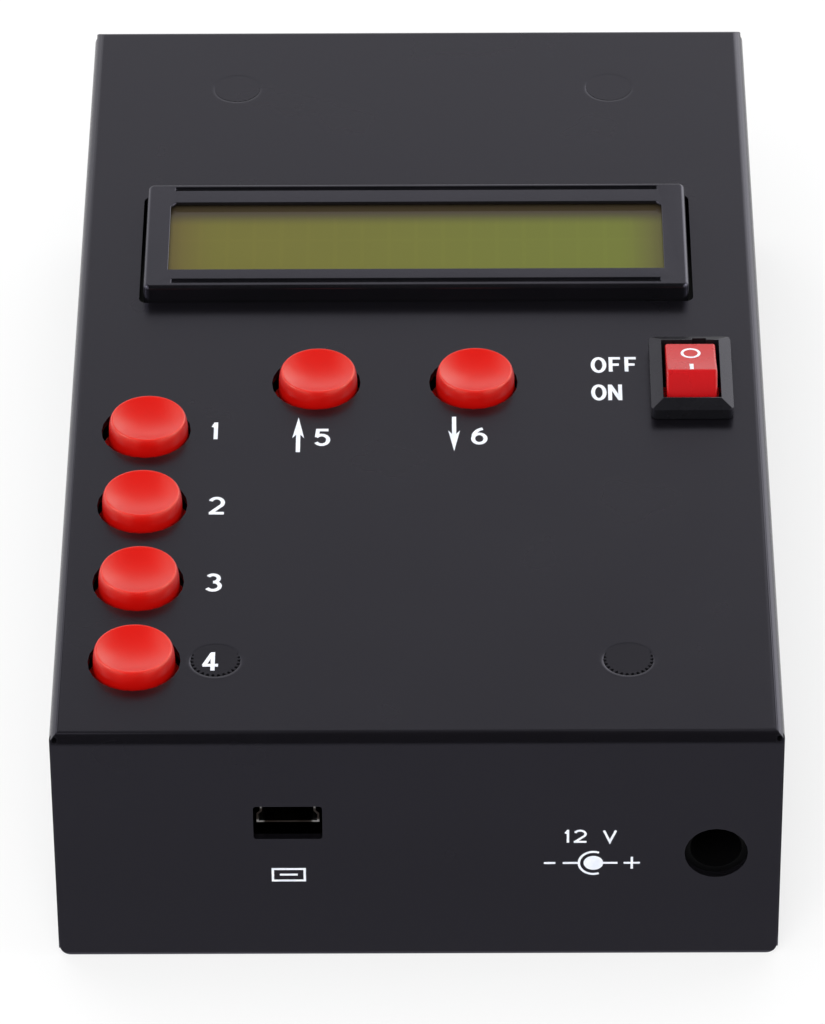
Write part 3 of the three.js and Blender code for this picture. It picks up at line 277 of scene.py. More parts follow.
class Finish:
    """A Principled shader and the few node chains that a finish is made of."""

    def __init__(self, name, colour, roughness, metallic=0.0, specular=0.5, gloss=(1, 1, 1)):
        self.material = bpy.data.materials.new(name)
        self.material.use_nodes = True
        self.material.diffuse_color = colour
        self.tree = self.material.node_tree
        self.shader = self.tree.nodes["Principled BSDF"]
        self.shader.inputs["Base Color"].default_value = colour
        self.shader.inputs["Roughness"].default_value = roughness
        self.shader.inputs["Metallic"].default_value = metallic
        self.shader.inputs["Specular IOR Level"].default_value = specular
        self.shader.inputs["Specular Tint"].default_value = (*gloss, 1)
        self.place = node(self.tree, "ShaderNodeTexCoord").outputs["Object"]
        self.colour = colour
        self.roughness = roughness
        self.bump = None

    def link(self, source, target):
        self.tree.links.new(source, target)

    def noise(self, scale, detail=3.0, stretch=(1, 1, 1)):
        mapping = node(self.tree, "ShaderNodeMapping")
        mapping.inputs["Scale"].default_value = stretch
        noise = node(self.tree, "ShaderNodeTexNoise")
        noise.inputs["Scale"].default_value = scale
        noise.inputs["Detail"].default_value = detail
        self.link(self.place, mapping.inputs["Vector"])
        self.link(mapping.outputs[0], noise.inputs["Vector"])
        return noise.outputs["Fac"]

    def mottle(self, other, scale, low=0.35, high=0.65, stretch=(1, 1, 1)):
        """Lets the colour drift towards another one in soft patches."""
        ramp = node(self.tree, "ShaderNodeMapRange")
        ramp.inputs["From Min"].default_value = low
        ramp.inputs["From Max"].default_value = high
        self.link(self.noise(scale, 4.0, stretch), ramp.inputs["Value"])
        self.tint(ramp.outputs[0], other)
        return self

    def tint(self, factor, other):
        mix = node(self.tree, "ShaderNodeMix", data_type="RGBA")
        before = self.shader.inputs["Base Color"]
        if before.is_linked:
            self.link(before.links[0].from_socket, mix.inputs["A"])
        else:
            mix.inputs["A"].default_value = self.colour
        mix.inputs["B"].default_value = other
        self.link(factor, mix.inputs["Factor"])
        self.link(mix.outputs["Result"], before)
        return self

    def polish(self, spread, scale, stretch=(1, 1, 1)):
        """Varies the roughness, as handling and moulding do."""
        ramp = node(self.tree, "ShaderNodeMapRange")
        ramp.inputs["From Min"].default_value = 0.2
        ramp.inputs["From Max"].default_value = 0.8
        ramp.inputs["To Min"].default_value = max(0.02, self.roughness - spread)
        ramp.inputs["To Max"].default_value = self.roughness + spread
        self.link(self.noise(scale, 3.0, stretch), ramp.inputs["Value"])
        self.link(ramp.outputs[0], self.shader.inputs["Roughness"])
        return self

    def grain(self, scale, depth, detail=2.0, stretch=(1, 1, 1)):
        """Raises the surface by depth, in metres, where the noise is high."""
        bump = node(self.tree, "ShaderNodeBump")
        bump.inputs["Strength"].default_value = 1
        bump.inputs["Distance"].default_value = depth
        self.link(self.noise(scale, detail, stretch), bump.inputs["Height"])
        if self.bump:
            self.link(self.bump, bump.inputs["Normal"])
        self.bump = bump.outputs["Normal"]
        self.link(self.bump, self.shader.inputs["Normal"])
        return self

    def edge_wear_and_highlight(self, other, radius, strength):
        """Lightens the colour along sharp edges, as rubbed paint does; on the red caps it is a painted highlight.
        """
        bevel = node(self.tree, "ShaderNodeBevel", samples=4)
        bevel.inputs["Radius"].default_value = radius
        geometry = node(self.tree, "ShaderNodeNewGeometry")
        dot = node(self.tree, "ShaderNodeVectorMath", operation="DOT_PRODUCT")
        ramp = node(self.tree, "ShaderNodeMapRange")
        ramp.inputs["From Min"].default_value = 0.995
        ramp.inputs["From Max"].default_value = 0.8
        ramp.inputs["To Max"].default_value = strength
        self.link(bevel.outputs[0], dot.inputs[0])
        self.link(geometry.outputs["Normal"], dot.inputs[1])
        self.link(dot.outputs["Value"], ramp.inputs["Value"])
        return self.tint(ramp.outputs[0], other)


# %% [markdown]
# ## The finishes of this instrument
# Satin powder coat is nearly black, with a fine orange peel. The caps are glossy red plastic that lets a
# little light in. The metal parts are nickel, zinc and brass: the same shader with other colours and with
# fine streaks where a lathe or a press has drawn them.

# %% Finishes
CHARCOAL = srgb(15, 14, 17)
COOL_GLOSS, WARM_GLOSS = (0.8, 0.77, 1.0), (1.0, 0.97, 0.76)


def powder(name, specular):
    return (
        Finish(name, CHARCOAL, 0.26, specular=specular, gloss=COOL_GLOSS)
        .mottle(srgb(13, 12, 15), 60, 0.2, 0.8)
        .edge_wear_and_highlight(srgb(38, 38, 42), 0.3 * MM, 0.35)
        .polish(0.03, 60)
        .grain(1400, 0.000008)
        .grain(5200, 0.0000025)
    )


powder_coat = powder("satin_powder_coat", 0.72)
pressed_coat = powder("pressed_powder_coat", 0.58)
print_white = (
    Finish("white_print", srgb(243, 246, 252), 0.5)
    .mottle(srgb(228, 233, 244), 900)
    .grain(3000, 0.000004)
)
button_red = (
    Finish("button_red", srgb(213, 13, 8), 0.33, specular=0.78, gloss=WARM_GLOSS)
    .mottle(srgb(207, 12, 7), 120, 0.2, 0.8)
    # The light rim along the edges of the caps is a painted highlight.
    .edge_wear_and_highlight(srgb(255, 104, 92), 0.35 * MM, 1.0)
    .polish(0.03, 200)
    .grain(2000, 0.0000012)
)
button_red.shader.inputs["Subsurface Weight"].default_value = 0.12
button_red.shader.inputs["Subsurface Scale"].default_value = 0.0006
rocker_red = (
    Finish("rocker_red", srgb(196, 18, 24), 0.27, specular=0.6)
    .mottle(srgb(190, 16, 22), 150, 0.2, 0.8)
    .edge_wear_and_highlight(srgb(235, 60, 60), 0.25 * MM, 0.6)
    .polish(0.03, 200)
    .grain(1200, 0.0000006)
)
bezel_black = (
    Finish("bezel_black", srgb(18, 17, 20), 0.22, specular=1.0, gloss=COOL_GLOSS)
    .mottle(srgb(15, 15, 17), 80)
    .edge_wear_and_highlight(srgb(50, 50, 54), 0.15 * MM, 0.25)
    .polish(0.05, 220)
    .grain(900, 0.000005)
)
frame_black = (
    Finish("frame_black", srgb(27, 27, 30), 0.27, specular=0.36, gloss=COOL_GLOSS)
    .mottle(srgb(23, 23, 26), 200)
    .edge_wear_and_highlight(srgb(44, 44, 48), 0.12 * MM, 0.25)
    .polish(0.03, 300)
    .grain(1200, 0.0000015)
)
dark_plastic = (
    Finish("dark_plastic", srgb(11, 11, 12), 0.5, specular=0.2)
    .mottle(srgb(15, 15, 16), 300)
    .polish(0.08, 600)
    .grain(2600, 0.000006)
)
jack_black = (
    Finish("jack_black", srgb(7, 7, 8), 0.5, specular=0.1)
    .mottle(srgb(9, 9, 10), 300)
    .polish(0.08, 600)
    .grain(2600, 0.000004)
)
screw_black = (
    Finish("screw_black", srgb(30, 30, 32), 0.36, metallic=0.6)
    .mottle(srgb(52, 50, 48), 900)
    .polish(0.08, 1500)
    .grain(4000, 0.000004)
)
zinc = (
    Finish("zinc_plate", srgb(196, 197, 200), 0.3, metallic=1.0)
    .mottle(srgb(176, 176, 170), 500)
    .polish(0.1, 900)
    .grain(2500, 0.000004)
)
nickel = (
    Finish("nickel_plate", srgb(204, 203, 198), 0.22, metallic=1.0)
    .mottle(srgb(188, 184, 172), 260)
    .polish(0.07, 900, stretch=(1, 6, 1))
    .grain(3000, 0.000002, stretch=(1, 8, 1))
)
brass = (
    Finish("brass", srgb(206, 168, 96), 0.28, metallic=1.0)
    .mottle(srgb(178, 138, 70), 420)
    .polish(0.08, 900)
    .grain(3000, 0.000003)
)
laminate = (
    Finish("board_laminate", srgb(24, 78, 50), 0.42)
    .mottle(srgb(40, 104, 66), 240, 0.48, 0.52)
    .polish(0.06, 500)
    .grain(700, 0.000012, stretch=(1, 3, 1))
)
dark_laminate = (
    Finish("dark_laminate", srgb(12, 15, 14), 0.42)
    .mottle(srgb(18, 22, 20), 240, 0.48, 0.52)
    .polish(0.06, 500)
    .grain(700, 0.000012, stretch=(1, 3, 1))
)
milky = (
    Finish("milky_guide", srgb(226, 226, 216), 0.35)
    .mottle(srgb(210, 214, 196), 200)
    .grain(1500, 0.000004)
)
insulator_white = (
    Finish("insulator_white", srgb(228, 224, 212), 0.45)
    .mottle(srgb(216, 208, 190), 400)
    .polish(0.06, 900)
    .grain(2600, 0.000005)
)
lead_red = Finish("lead_red", srgb(172, 30, 30), 0.45).mottle(srgb(150, 22, 22), 500).grain(2000, 0.000006)
lead_black = Finish("lead_black", srgb(26, 26, 26), 0.45).mottle(srgb(36, 36, 36), 500).grain(2000, 0.000006)
print("finishes:", len(bpy.data.materials))

# %% [markdown]
# ## Every solid gets its finish
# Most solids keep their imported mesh, and only their material changes. The record says which slot each one
# belongs to, so one table from slot to finish dresses them all, the hidden ones included.

# %% Dress the solids
SLOT_FINISH = {
    "case_paint": powder_coat,
    "black_screw": screw_black,
    "zinc_steel": zinc,
    "bezel_black": bezel_black,
    "display_glass": milky,
    "light_guide": milky,
    "board_green": laminate,
    "black_plastic": dark_plastic,
    "button_red": button_red,
    "rocker_black": frame_black,
    "rocker_red": rocker_red,
    "spring_brass": brass,
    "nickel": nickel,
    "insulator_white": insulator_white,
    "lead_red": lead_red,
    "lead_black": lead_black,
}
slot_of = {entry["node"]: entry["material_slot"] for entry in frame["record"]["subparts"]}
for name, solid in frame["nodes"].items():
    solid.data.materials.clear()
    solid.data.materials.append(SLOT_FINISH[slot_of[name]].material)
# The display board is made nearly black: painted shade for the narrow gap round the display frame, where it shows.
frame["nodes"]["display_board"].data.materials[0] = dark_laminate.material
print("dressed", len(slot_of), "solids")

# %% [markdown]
# ## Finishing a piece
# Every new piece ends in much the same way: its mesh is shaded smooth, and then it rides on its body. Where a
# width is given, a bevel rounds what is still sharp; where there is a bevel or flat faces are asked for, weighted
# normals keep the flats flat; otherwise edges sharper than an angle stay sharp. A part that is only too sharp can
# start from a copy of its solid. The solid's mesh is loose triangles, so the copy is merged first, and its
# flat faces are dissolved into whole ones, so that the bevel has clean edges to run along.

# %% Helpers for pieces


def finish_piece(
    name, bm, finish, body="case", stands_for=(), bevel=0.0, segments=2, sharp=35, flat_faces=False
):
    mesh = bpy.data.meshes.new(name)
    bm.to_mesh(mesh)
    bm.free()
    mesh.materials.append(finish.material)
    mesh.shade_smooth()
    if not bevel:
        mesh.set_sharp_from_angle(angle=math.radians(sharp))
    piece = bpy.data.objects.new(name, mesh)
    scene.collection.objects.link(piece)
    if bevel:
        rounding = piece.modifiers.new("rounding", "BEVEL")
        rounding.width = bevel
        rounding.segments = segments
        rounding.limit_method = "ANGLE"
        rounding.angle_limit = math.radians(sharp)
        rounding.use_clamp_overlap = True
    if bevel or flat_faces:
        normals = piece.modifiers.new("normals", "WEIGHTED_NORMAL")
        normals.weight = 80
    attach(piece, body)
    if stands_for:
        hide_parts(*stands_for)
    return piece


COPY_WELD, COPY_FLAT = 0.002 * MM, math.radians(0.6)
SPIN_WELD, THREAD_WELD = 0.0002 * MM, 0.001 * MM


def copy_of(name):
    """The merged mesh of a solid, with its flat faces made whole."""
    bm = bmesh.new()
    bm.from_mesh(frame["nodes"][name].data)
    bmesh.ops.remove_doubles(bm, verts=bm.verts, dist=COPY_WELD)
    bmesh.ops.dissolve_limit(bm, angle_limit=COPY_FLAT, verts=bm.verts, edges=bm.edges)
    return bm


def soft_copies(*pieces, width=0.06 * MM):
    """Dresses copies of solids whose edges are only softened, as (name, finish, slot)."""
    for name, finish, slot in pieces:
        finish_piece(f"{name}_soft", copy_of(name), finish, stands_for=[name], bevel=width)


def arc(centre, radius, start, end, count):
    """Points on an arc, from one angle to another in degrees."""
    angles = [math.radians(start + (end - start) * step / count) for step in range(count + 1)]
    return [(centre[0] + radius * math.cos(a), centre[1] + radius * math.sin(a)) for a in angles]


def turned(points, steps=72, closed=False):
    """Spins a line of (radius, height) points round Z. An open line starts and ends on the axis."""
    bm = bmesh.new()
    corners = [bm.verts.new((radius, 0, height)) for radius, height in points]
    line = [bm.edges.new(pair) for pair in zip(corners, corners[1:])]
    if closed:
        line.append(bm.edges.new((corners[-1], corners[0])))
    bmesh.ops.spin(
        bm, geom=corners + line, cent=(0, 0, 0), axis=(0, 0, 1), angle=math.tau, steps=steps, use_merge=True
    )
    bmesh.ops.remove_doubles(bm, verts=bm.verts, dist=SPIN_WELD)
    bmesh.ops.recalc_face_normals(bm, faces=bm.faces)
    return bm


def add_block(bm, low, high):
    """Adds a box from its lowest and highest corner."""
    low, high = Vector(low), Vector(high)
    size = Matrix.Diagonal((high - low)).to_4x4()
    bmesh.ops.create_cube(bm, size=1, matrix=Matrix.Translation((low + high) / 2) @ size)


def settled(piece):
    """The final shape of an object with its modifiers, as a bmesh. The object goes."""
    bpy.context.view_layer.update()
    plain = bpy.data.meshes.new_from_object(piece.evaluated_get(bpy.context.evaluated_depsgraph_get()))
    bm = bmesh.new()
    bm.from_mesh(plain)
    bpy.data.objects.remove(piece)
    bpy.data.meshes.remove(plain)
    return bm


def carved(piece, *cutters):
    """Cuts bmesh bodies out of a piece."""
    helpers = [loose(cutter) for cutter in cutters]
    for helper in helpers:
        cut = piece.modifiers.new("cut", "BOOLEAN")
        cut.object = helper
        cut.solver = "EXACT"
    bm = settled(piece)
    for helper in helpers:
        bpy.data.objects.remove(helper)
    return bm


def loose(bm):
    """A plain object round a bmesh, for a cut."""
    mesh = bpy.data.meshes.new("blank")
    bm.to_mesh(mesh)
    bm.free()
    blank = bpy.data.objects.new("blank", mesh)
    scene.collection.objects.link(blank)
    return blank


# %% [markdown]
# ## The folded box
# The upper cover is one sheet with four folded walls, and the tray below closes it. Their shape is right as
# it is. What a real sheet has and a solid lacks are edges that the paint has rounded, so a small bevel does
# it.

# %% Covers
cover = finish_piece(
    "cover_sheet", copy_of("top_cover"), powder_coat, stands_for=["top_cover"],
    bevel=0.28 * MM, segments=3, sharp=40,
)
tray = finish_piece(
    "tray_sheet", copy_of("bottom_cover"), powder_coat, stands_for=["bottom_cover"],
    bevel=0.2 * MM, sharp=40,
)
print("cover", len(cover.data.vertices), "points; tray", len(tray.data.vertices))

# %% [markdown]
# ## Pressed standoffs
# Four standoffs are pressed into the panel. Of each one only the flush head shows, a disc whose serrated
# rim has bitten into the sheet, under the same paint. The notches between its teeth stay open and read as a
# ring of dots, but the paint has filled those on the far side, and nearly all of them at the back of the
# panel. The press also throws up a low lip round the disc, steep inside and gentle outside. It is spun from
# three points, two of them sunk in the panel, and its far side is beaten down.

# %% Standoff heads
TEETH = 27
DISC_RADIUS, DISC_PROUD, DISC_THICK = 3.08 * MM, 0.03 * MM, 0.8 * MM
NOTCH_DEPTH, NOTCH_LEFT_SHARE = 0.42 * MM, 0.15
LIP_GAP, LIP_INSIDE, LIP_OUTSIDE, LIP_HEIGHT = 0.12 * MM, 0.13 * MM, 0.55 * MM, 0.08 * MM
SUNK = -0.02 * MM
SHANK_WIDE, SHANK_SHORT = 2.6 * MM, 0.5 * MM
panel_top = cover_high.z
for index in range(1, 5):
    low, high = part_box(f"standoff_{index}")
    centre = (low + high) / 2
    near = centre.y < 0
    bm = bmesh.new()
    bmesh.ops.create_circle(bm, cap_ends=True, segments=6 * TEETH, radius=DISC_RADIUS)
    for number, point in enumerate(bm.verts):
        if number % 6 in (0, 1, 2):
            far_side = min(1, max(0, point.co.y / DISC_RADIUS - 0.1) * 2)
            bite = NOTCH_DEPTH * (1 - far_side) * (1 if near else NOTCH_LEFT_SHARE)
            point.co *= 1 - bite / DISC_RADIUS
    under = bmesh.ops.extrude_face_region(bm, geom=bm.faces[:])["geom"]
    bmesh.ops.translate(bm, vec=(0, 0, -DISC_THICK), verts=points_of(under))
    bmesh.ops.translate(bm, vec=(centre.x, centre.y, panel_top + DISC_PROUD), verts=bm.verts)
    bmesh.ops.create_cone(
        bm, cap_ends=True, segments=32, radius1=SHANK_WIDE, radius2=SHANK_WIDE,
        depth=panel_top - low.z - 2 * SHANK_SHORT,
        matrix=Matrix.Translation((centre.x, centre.y, (panel_top + low.z) / 2 - SHANK_SHORT)),
    )
    bmesh.ops.recalc_face_normals(bm, faces=bm.faces)
    finish_piece(
        f"standoff_head_{index}", bm, pressed_coat if near else powder_coat,
        stands_for=[f"standoff_{index}"], sharp=30,
    )
    crest = DISC_RADIUS + LIP_GAP
    lip = turned([(crest - LIP_INSIDE, SUNK), (crest + LIP_OUTSIDE, SUNK), (crest, LIP_HEIGHT)], closed=True)
    for point in lip.verts:
        if point.co.z > 0:
            far_side = min(1, max(0, point.co.y / crest + 0.3))
            point.co.z *= (1 - 0.8 * far_side) * (1 if near else 0.4)
    lip.transform(Matrix.Translation((centre.x, centre.y, panel_top)))
    finish_piece(f"standoff_lip_{index}", lip, powder_coat, sharp=80)
print("standoff heads with", TEETH, "teeth")

# %% [markdown]
# ## Pan head screws
# The tray and the antenna socket are held by small pan head screws. The head is spun from its outline, and
# the cross recess is two crossed wedges cut out of it. One function makes all eight. Each is as long as its
# solid and has stopped at another angle.

# %% Screws
HEAD_RADIUS, HEAD_HEIGHT, HEAD_ROUND, SHANK_RADIUS = 2.8, 1.8, 0.9, 1.4
WEDGE_TIP, WEDGE_TOP, WEDGE_DEEP, WEDGE_FLAT_SHARE, RECESS_RISE = 0.35, 2.2, 1.4, 0.3, 0.35
SCREW_TURN = 37


def pan_screw(length, place):
    """A screw along Z with its seat at 0, moved by the matrix that is given."""
    outline = [(0, -length), (SHANK_RADIUS, -length), (SHANK_RADIUS, 0), (HEAD_RADIUS, 0)]
    outline += arc((HEAD_RADIUS - HEAD_ROUND, HEAD_HEIGHT - HEAD_ROUND), HEAD_ROUND, 0, 80, 6)
    outline += [(HEAD_ROUND, HEAD_HEIGHT - 0.02), (0, HEAD_HEIGHT)]
    blank = turned([(radius * MM, height * MM) for radius, height in outline], steps=40)
    wedges = []
    for turn in (0, math.pi / 2):
        wedge = bmesh.new()
        bmesh.ops.create_cone(
            wedge, cap_ends=True, segments=4,
            radius1=WEDGE_TIP * MM, radius2=WEDGE_TOP * MM, depth=WEDGE_DEEP * MM,
            matrix=Matrix.Translation((0, 0, (HEAD_HEIGHT - RECESS_RISE) * MM))
            @ Matrix.Rotation(turn, 4, "Z")
            @ Matrix.Diagonal((1, WEDGE_FLAT_SHARE, 1, 1))
            @ Matrix.Rotation(math.pi / 4, 4, "Z"),
        )
        wedges.append(wedge)
    bm = carved(loose(blank), *wedges)
    bm.transform(place)
    return bm


def screw_frame(name):
    """Where a screw's seat is, and the way its head points, read from the solid's box."""
    low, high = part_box(name)
    centre = (low + high) / 2
    if name.startswith("antenna"):
        seat = high.y - HEAD_HEIGHT * MM
        turn = Matrix.Rotation(-math.pi / 2, 4, "X")
        return seat - low.y, Matrix.Translation((centre.x, seat, centre.z)) @ turn
    side = 1 if centre.x > 0 else -1
    seat = (high.x if side > 0 else low.x) - side * HEAD_HEIGHT * MM
    turn = Matrix.Rotation(side * math.pi / 2, 4, "Y")
    return high.x - low.x - HEAD_HEIGHT * MM, Matrix.Translation((seat, centre.y, centre.z)) @ turn


for index in range(1, 5):
    for kind, finish, slot in (("antenna", zinc, "zinc_steel"), ("cover", screw_black, "black_screw")):
        name = f"{kind}_screw_{index}"
        length, place = screw_frame(name)
        spin = Matrix.Rotation(math.radians(SCREW_TURN * index), 4, "Z")
        screw = pan_screw(length / MM, place @ spin)
        finish_piece(f"{kind}_pan_screw_{index}", screw, finish, stands_for=[name], sharp=30)
print("eight screws, heads", 2 * HEAD_RADIUS, "mm")

# %% [markdown]
# ## The display
# The readout is a bought module: a stamped black frame with a window, and under it the liquid crystal cell.
# The frame keeps its solid's shape with softened edges. The cell is a thick pane of glass, and what is seen
# in it is an olive film, darker along the back where the frame shades it, with the ghost of two rows of
# character blocks.

# %% Display frame and cell
finish_piece(
    "display_frame", copy_of("display_bezel"), bezel_black,
    stands_for=["display_bezel"], bevel=0.1 * MM,
)

bezel_low, bezel_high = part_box("display_bezel")
WINDOW_SHIFT, WINDOW = Vector((0, -0.175 * MM, 0)), (64.9 * MM, 14.95 * MM)
window_centre = (bezel_low + bezel_high) / 2 + WINDOW_SHIFT
olive = Finish("olive_display", srgb(105, 101, 37), 0.12, specular=0.4)
olive.mottle(srgb(100, 96, 34), 45)


def along(finish, axis, start, end):
    """0 to 1 as a place runs from start to end along one axis."""
    parts = node(finish.tree, "ShaderNodeSeparateXYZ")
    ramp = node(finish.tree, "ShaderNodeMapRange", interpolation_type="SMOOTHSTEP")
    ramp.inputs["From Min"].default_value = start
    ramp.inputs["From Max"].default_value = end
    finish.link(finish.place, parts.inputs[0])
    finish.link(parts.outputs[axis], ramp.inputs["Value"])
    return ramp.outputs[0]


left, right = (window_centre.x + side * WINDOW[0] / 2 for side in (-1, 1))
back = window_centre.y + WINDOW[1] / 2
# These tints are painted light: the film is greener towards the right, darker at both ends, and dark along the
# back where the frame shades it.
for axis, start, end, shade in (
    ("X", left, right, srgb(102, 109, 39)),
    ("X", left + 7 * MM, left - 2 * MM, srgb(94, 81, 38)),
    ("X", right - 6 * MM, right + 1 * MM, srgb(90, 86, 44)),
    ("Y", back - 4.4 * MM, back - 0.9 * MM, srgb(62, 53, 40)),
):
    olive.tint(along(olive, axis, start, end), shade)

BLOCK, GAP, GHOST = (2.95 * MM, 5.55 * MM), 0.6 * MM, 0.05
blocks = node(olive.tree, "ShaderNodeTexBrick", offset=0.0, squash=1.0)
blocks.inputs["Scale"].default_value = 1
blocks.inputs["Mortar Size"].default_value = GAP / 2
blocks.inputs["Mortar Smooth"].default_value = 0.2
blocks.inputs["Brick Width"].default_value = BLOCK[0] + GAP
blocks.inputs["Row Height"].default_value = BLOCK[1] + GAP
centring = node(olive.tree, "ShaderNodeMapping")
centring.inputs["Location"].default_value = (-window_centre.x, -window_centre.y, 0)
olive.link(olive.place, centring.inputs["Vector"])
olive.link(centring.outputs[0], blocks.inputs["Vector"])
faint = node(olive.tree, "ShaderNodeMapRange")
faint.inputs["To Min"].default_value = GHOST
faint.inputs["To Max"].default_value = 0
olive.link(blocks.outputs["Fac"], faint.inputs["Value"])
olive.tint(faint.outputs[0], srgb(60, 66, 24))

finish_piece(
    "display_pane", copy_of("display_cell"), olive, stands_for=["display_cell"],
    bevel=0.05 * MM, segments=1,
)
print("window centre", tuple(round(value / MM, 2) for value in window_centre))

# %% [markdown]
# ## Dished push buttons
# Each cap is a turned form: a foot that the panel holds back, a straight side with a little draft, a thin
# rounded edge, and a dish that is part of a sphere and runs right up to it. The edge is a quarter of an
# ellipse, narrow from above but drawn far down the side, so that the side is lightest at its top. One
# outline serves all six.

# %% Caps
CAP_RADIUS, CAP_EDGE, CAP_SHOULDER, CAP_CREST, CAP_DISH = 5.03, 0.48, 1.7, 0.05, 0.95
FOOT_HEIGHT, FOOT_EDGE, DRAFT, STEP_ROUND = 0.8, 0.15, 0.08, 0.1


def cap_outline(height, foot):
    inner = CAP_RADIUS - CAP_EDGE - CAP_CREST
    sphere = (inner ** 2 + CAP_DISH ** 2) / (2 * CAP_DISH)
    spread = math.degrees(math.asin(inner / sphere))
    outline = [(0, 0), (foot - FOOT_EDGE, 0), (foot, FOOT_EDGE)]
    outline += [(foot, FOOT_HEIGHT - FOOT_EDGE), (foot - FOOT_EDGE, FOOT_HEIGHT)]
    drafted = CAP_RADIUS + DRAFT
    outline += [(drafted + STEP_ROUND, FOOT_HEIGHT), (drafted, FOOT_HEIGHT + STEP_ROUND)]
    shoulder = arc((0, 0), 1, 0, 90, 18)
    outline += [(CAP_RADIUS + (x - 1) * CAP_EDGE, height + (z - 1) * CAP_SHOULDER) for x, z in shoulder]
    lowest = height - CAP_CREST / 4 - CAP_DISH
    dish = arc((0, lowest + sphere), sphere, -90 + spread, -90, 16)
    return outline + dish[:-1] + [(0, lowest)]


for index in range(1, 7):
    low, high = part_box(f"button_cap_{index}")
    centre = (low + high) / 2
    outline = cap_outline((high.z - low.z) / MM, (high.x - low.x) / 2 / MM)
    bm = turned([(radius * MM, height * MM) for radius, height in outline], steps=96)
    bm.transform(Matrix.Translation((centre.x, centre.y, low.z)))
    finish_piece(
        f"dished_cap_{index}", bm, button_red, body=f"button_{index}",
        stands_for=[f"button_cap_{index}"], sharp=40,
    )
print("six caps of", 2 * CAP_RADIUS, "mm")

# %% [markdown]
# ## The rocker switch
# Its frame has a straight side and a sloped top. The rocker lies with its far end pressed: two facets that
# meet in a shallow valley, and ends that bulge. It is drawn from the side, extruded across, and its edges
# are rounded generously, since that is where the light lines run.

# %% Rocker and frame
finish_piece(
    "rocker_frame", copy_of("rocker_housing"), frame_black,
    stands_for=["rocker_housing"], bevel=0.16 * MM, segments=3,
)
TILT = math.radians(-13)
tilt_joint = next(joint for joint in frame["joints"] if joint["name"] == "rocker_tilt")
pivot = Vector(tilt_joint["pos_m"])
at_rest = Matrix.Translation(pivot) @ Matrix.Rotation(TILT, 4, "X")
ROCKER_HALF, ROCKER_END, ROCKER_TOP, ROCKER_VALLEY, ROCKER_LEAN, ROCKER_BELOW = 3.25, 5.9, 5.3, 0.4, 1.7, 0.9
ROCKER_ROUND, PIN_RADIUS, PIN_REACH = 0.3, 0.9, 0.4
STALK_TIP, STALK_ROOT, STALK_LENGTH, STALK_CENTRE = 0.6, 1.3, 6.2, 3.2
bulge = (ROCKER_TOP ** 2 + ROCKER_LEAN ** 2) / (2 * ROCKER_LEAN)
rise = math.degrees(math.asin(ROCKER_TOP / bulge))
side = arc((ROCKER_END - bulge, 0), bulge, 0, rise, 8)
outline = [(ROCKER_END, -ROCKER_BELOW), *side, (0, ROCKER_TOP - ROCKER_VALLEY)]
outline += [(-y, z) for y, z in reversed(side)] + [(-ROCKER_END, -ROCKER_BELOW)]
bm = bmesh.new()
face = bm.faces.new([bm.verts.new((-ROCKER_HALF * MM, y * MM, z * MM)) for y, z in outline])
swept = bmesh.ops.extrude_face_region(bm, geom=[face])["geom"]
bmesh.ops.translate(bm, vec=(2 * ROCKER_HALF * MM, 0, 0), verts=points_of(swept))
bmesh.ops.recalc_face_normals(bm, faces=bm.faces)
sharp_edges = [edge for edge in bm.edges if edge.calc_face_angle(0) > math.radians(25)]
bmesh.ops.bevel(
    bm, geom=sharp_edges, offset=ROCKER_ROUND * MM, offset_type="OFFSET", segments=4, profile=0.5,
    affect="EDGES", material=-1,
)
bmesh.ops.create_cone(
    bm, cap_ends=True, segments=24, radius1=PIN_RADIUS * MM, radius2=PIN_RADIUS * MM,
    depth=2 * (ROCKER_HALF + PIN_REACH) * MM, matrix=Matrix.Rotation(math.pi / 2, 4, "Y"),
)
bmesh.ops.create_cone(
    bm, cap_ends=True, segments=24, radius1=STALK_TIP * MM, radius2=STALK_ROOT * MM, depth=STALK_LENGTH * MM,
    matrix=Matrix.Translation((0, 0, -STALK_CENTRE * MM)),
)
bm.transform(at_rest)
finish_piece(
    "red_rocker", bm, rocker_red, body="rocker", stands_for=["rocker"], sharp=30,
    flat_faces=True,
)
print("rocker pivot", tuple(round(value / MM, 2) for value in pivot))

# %% [markdown]
# ## Printed signs
# Signs are thin prints in an even line. Each letter is drawn as the path of a pen on a square of 1 by 1.
# The path is raised to a thin wall, and Solidify makes the wall as broad as the pen. Blunt corners come out
# mitred, and at a sharp corner the pen is lifted and a new stroke begins, since a mitre would run out into
# a spike. Each stroke lies a trace higher than the last, so that their tops never share a plane where they
# cross. Plain numbers stand beside the buttons, and OFF and ON beside the switch.

# %% A pen for signs
PRINT_DEPTH, STROKE_STEP = 0.02 * MM, 0.003 * MM
ON_PANEL = Matrix.Translation((0, 0, panel_top))
ON_FRONT = Matrix.Translation((0, cover_low.y, 0)) @ Matrix.Rotation(math.pi / 2, 4, "X")


def bow(centre, reach, start, end, count=12):
    """A part of an ellipse, from one angle to another in degrees."""
    angles = [math.radians(start + (end - start) * step / count) for step in range(count + 1)]
    return [(centre[0] + reach[0] * math.cos(a), centre[1] + reach[1] * math.sin(a)) for a in angles]


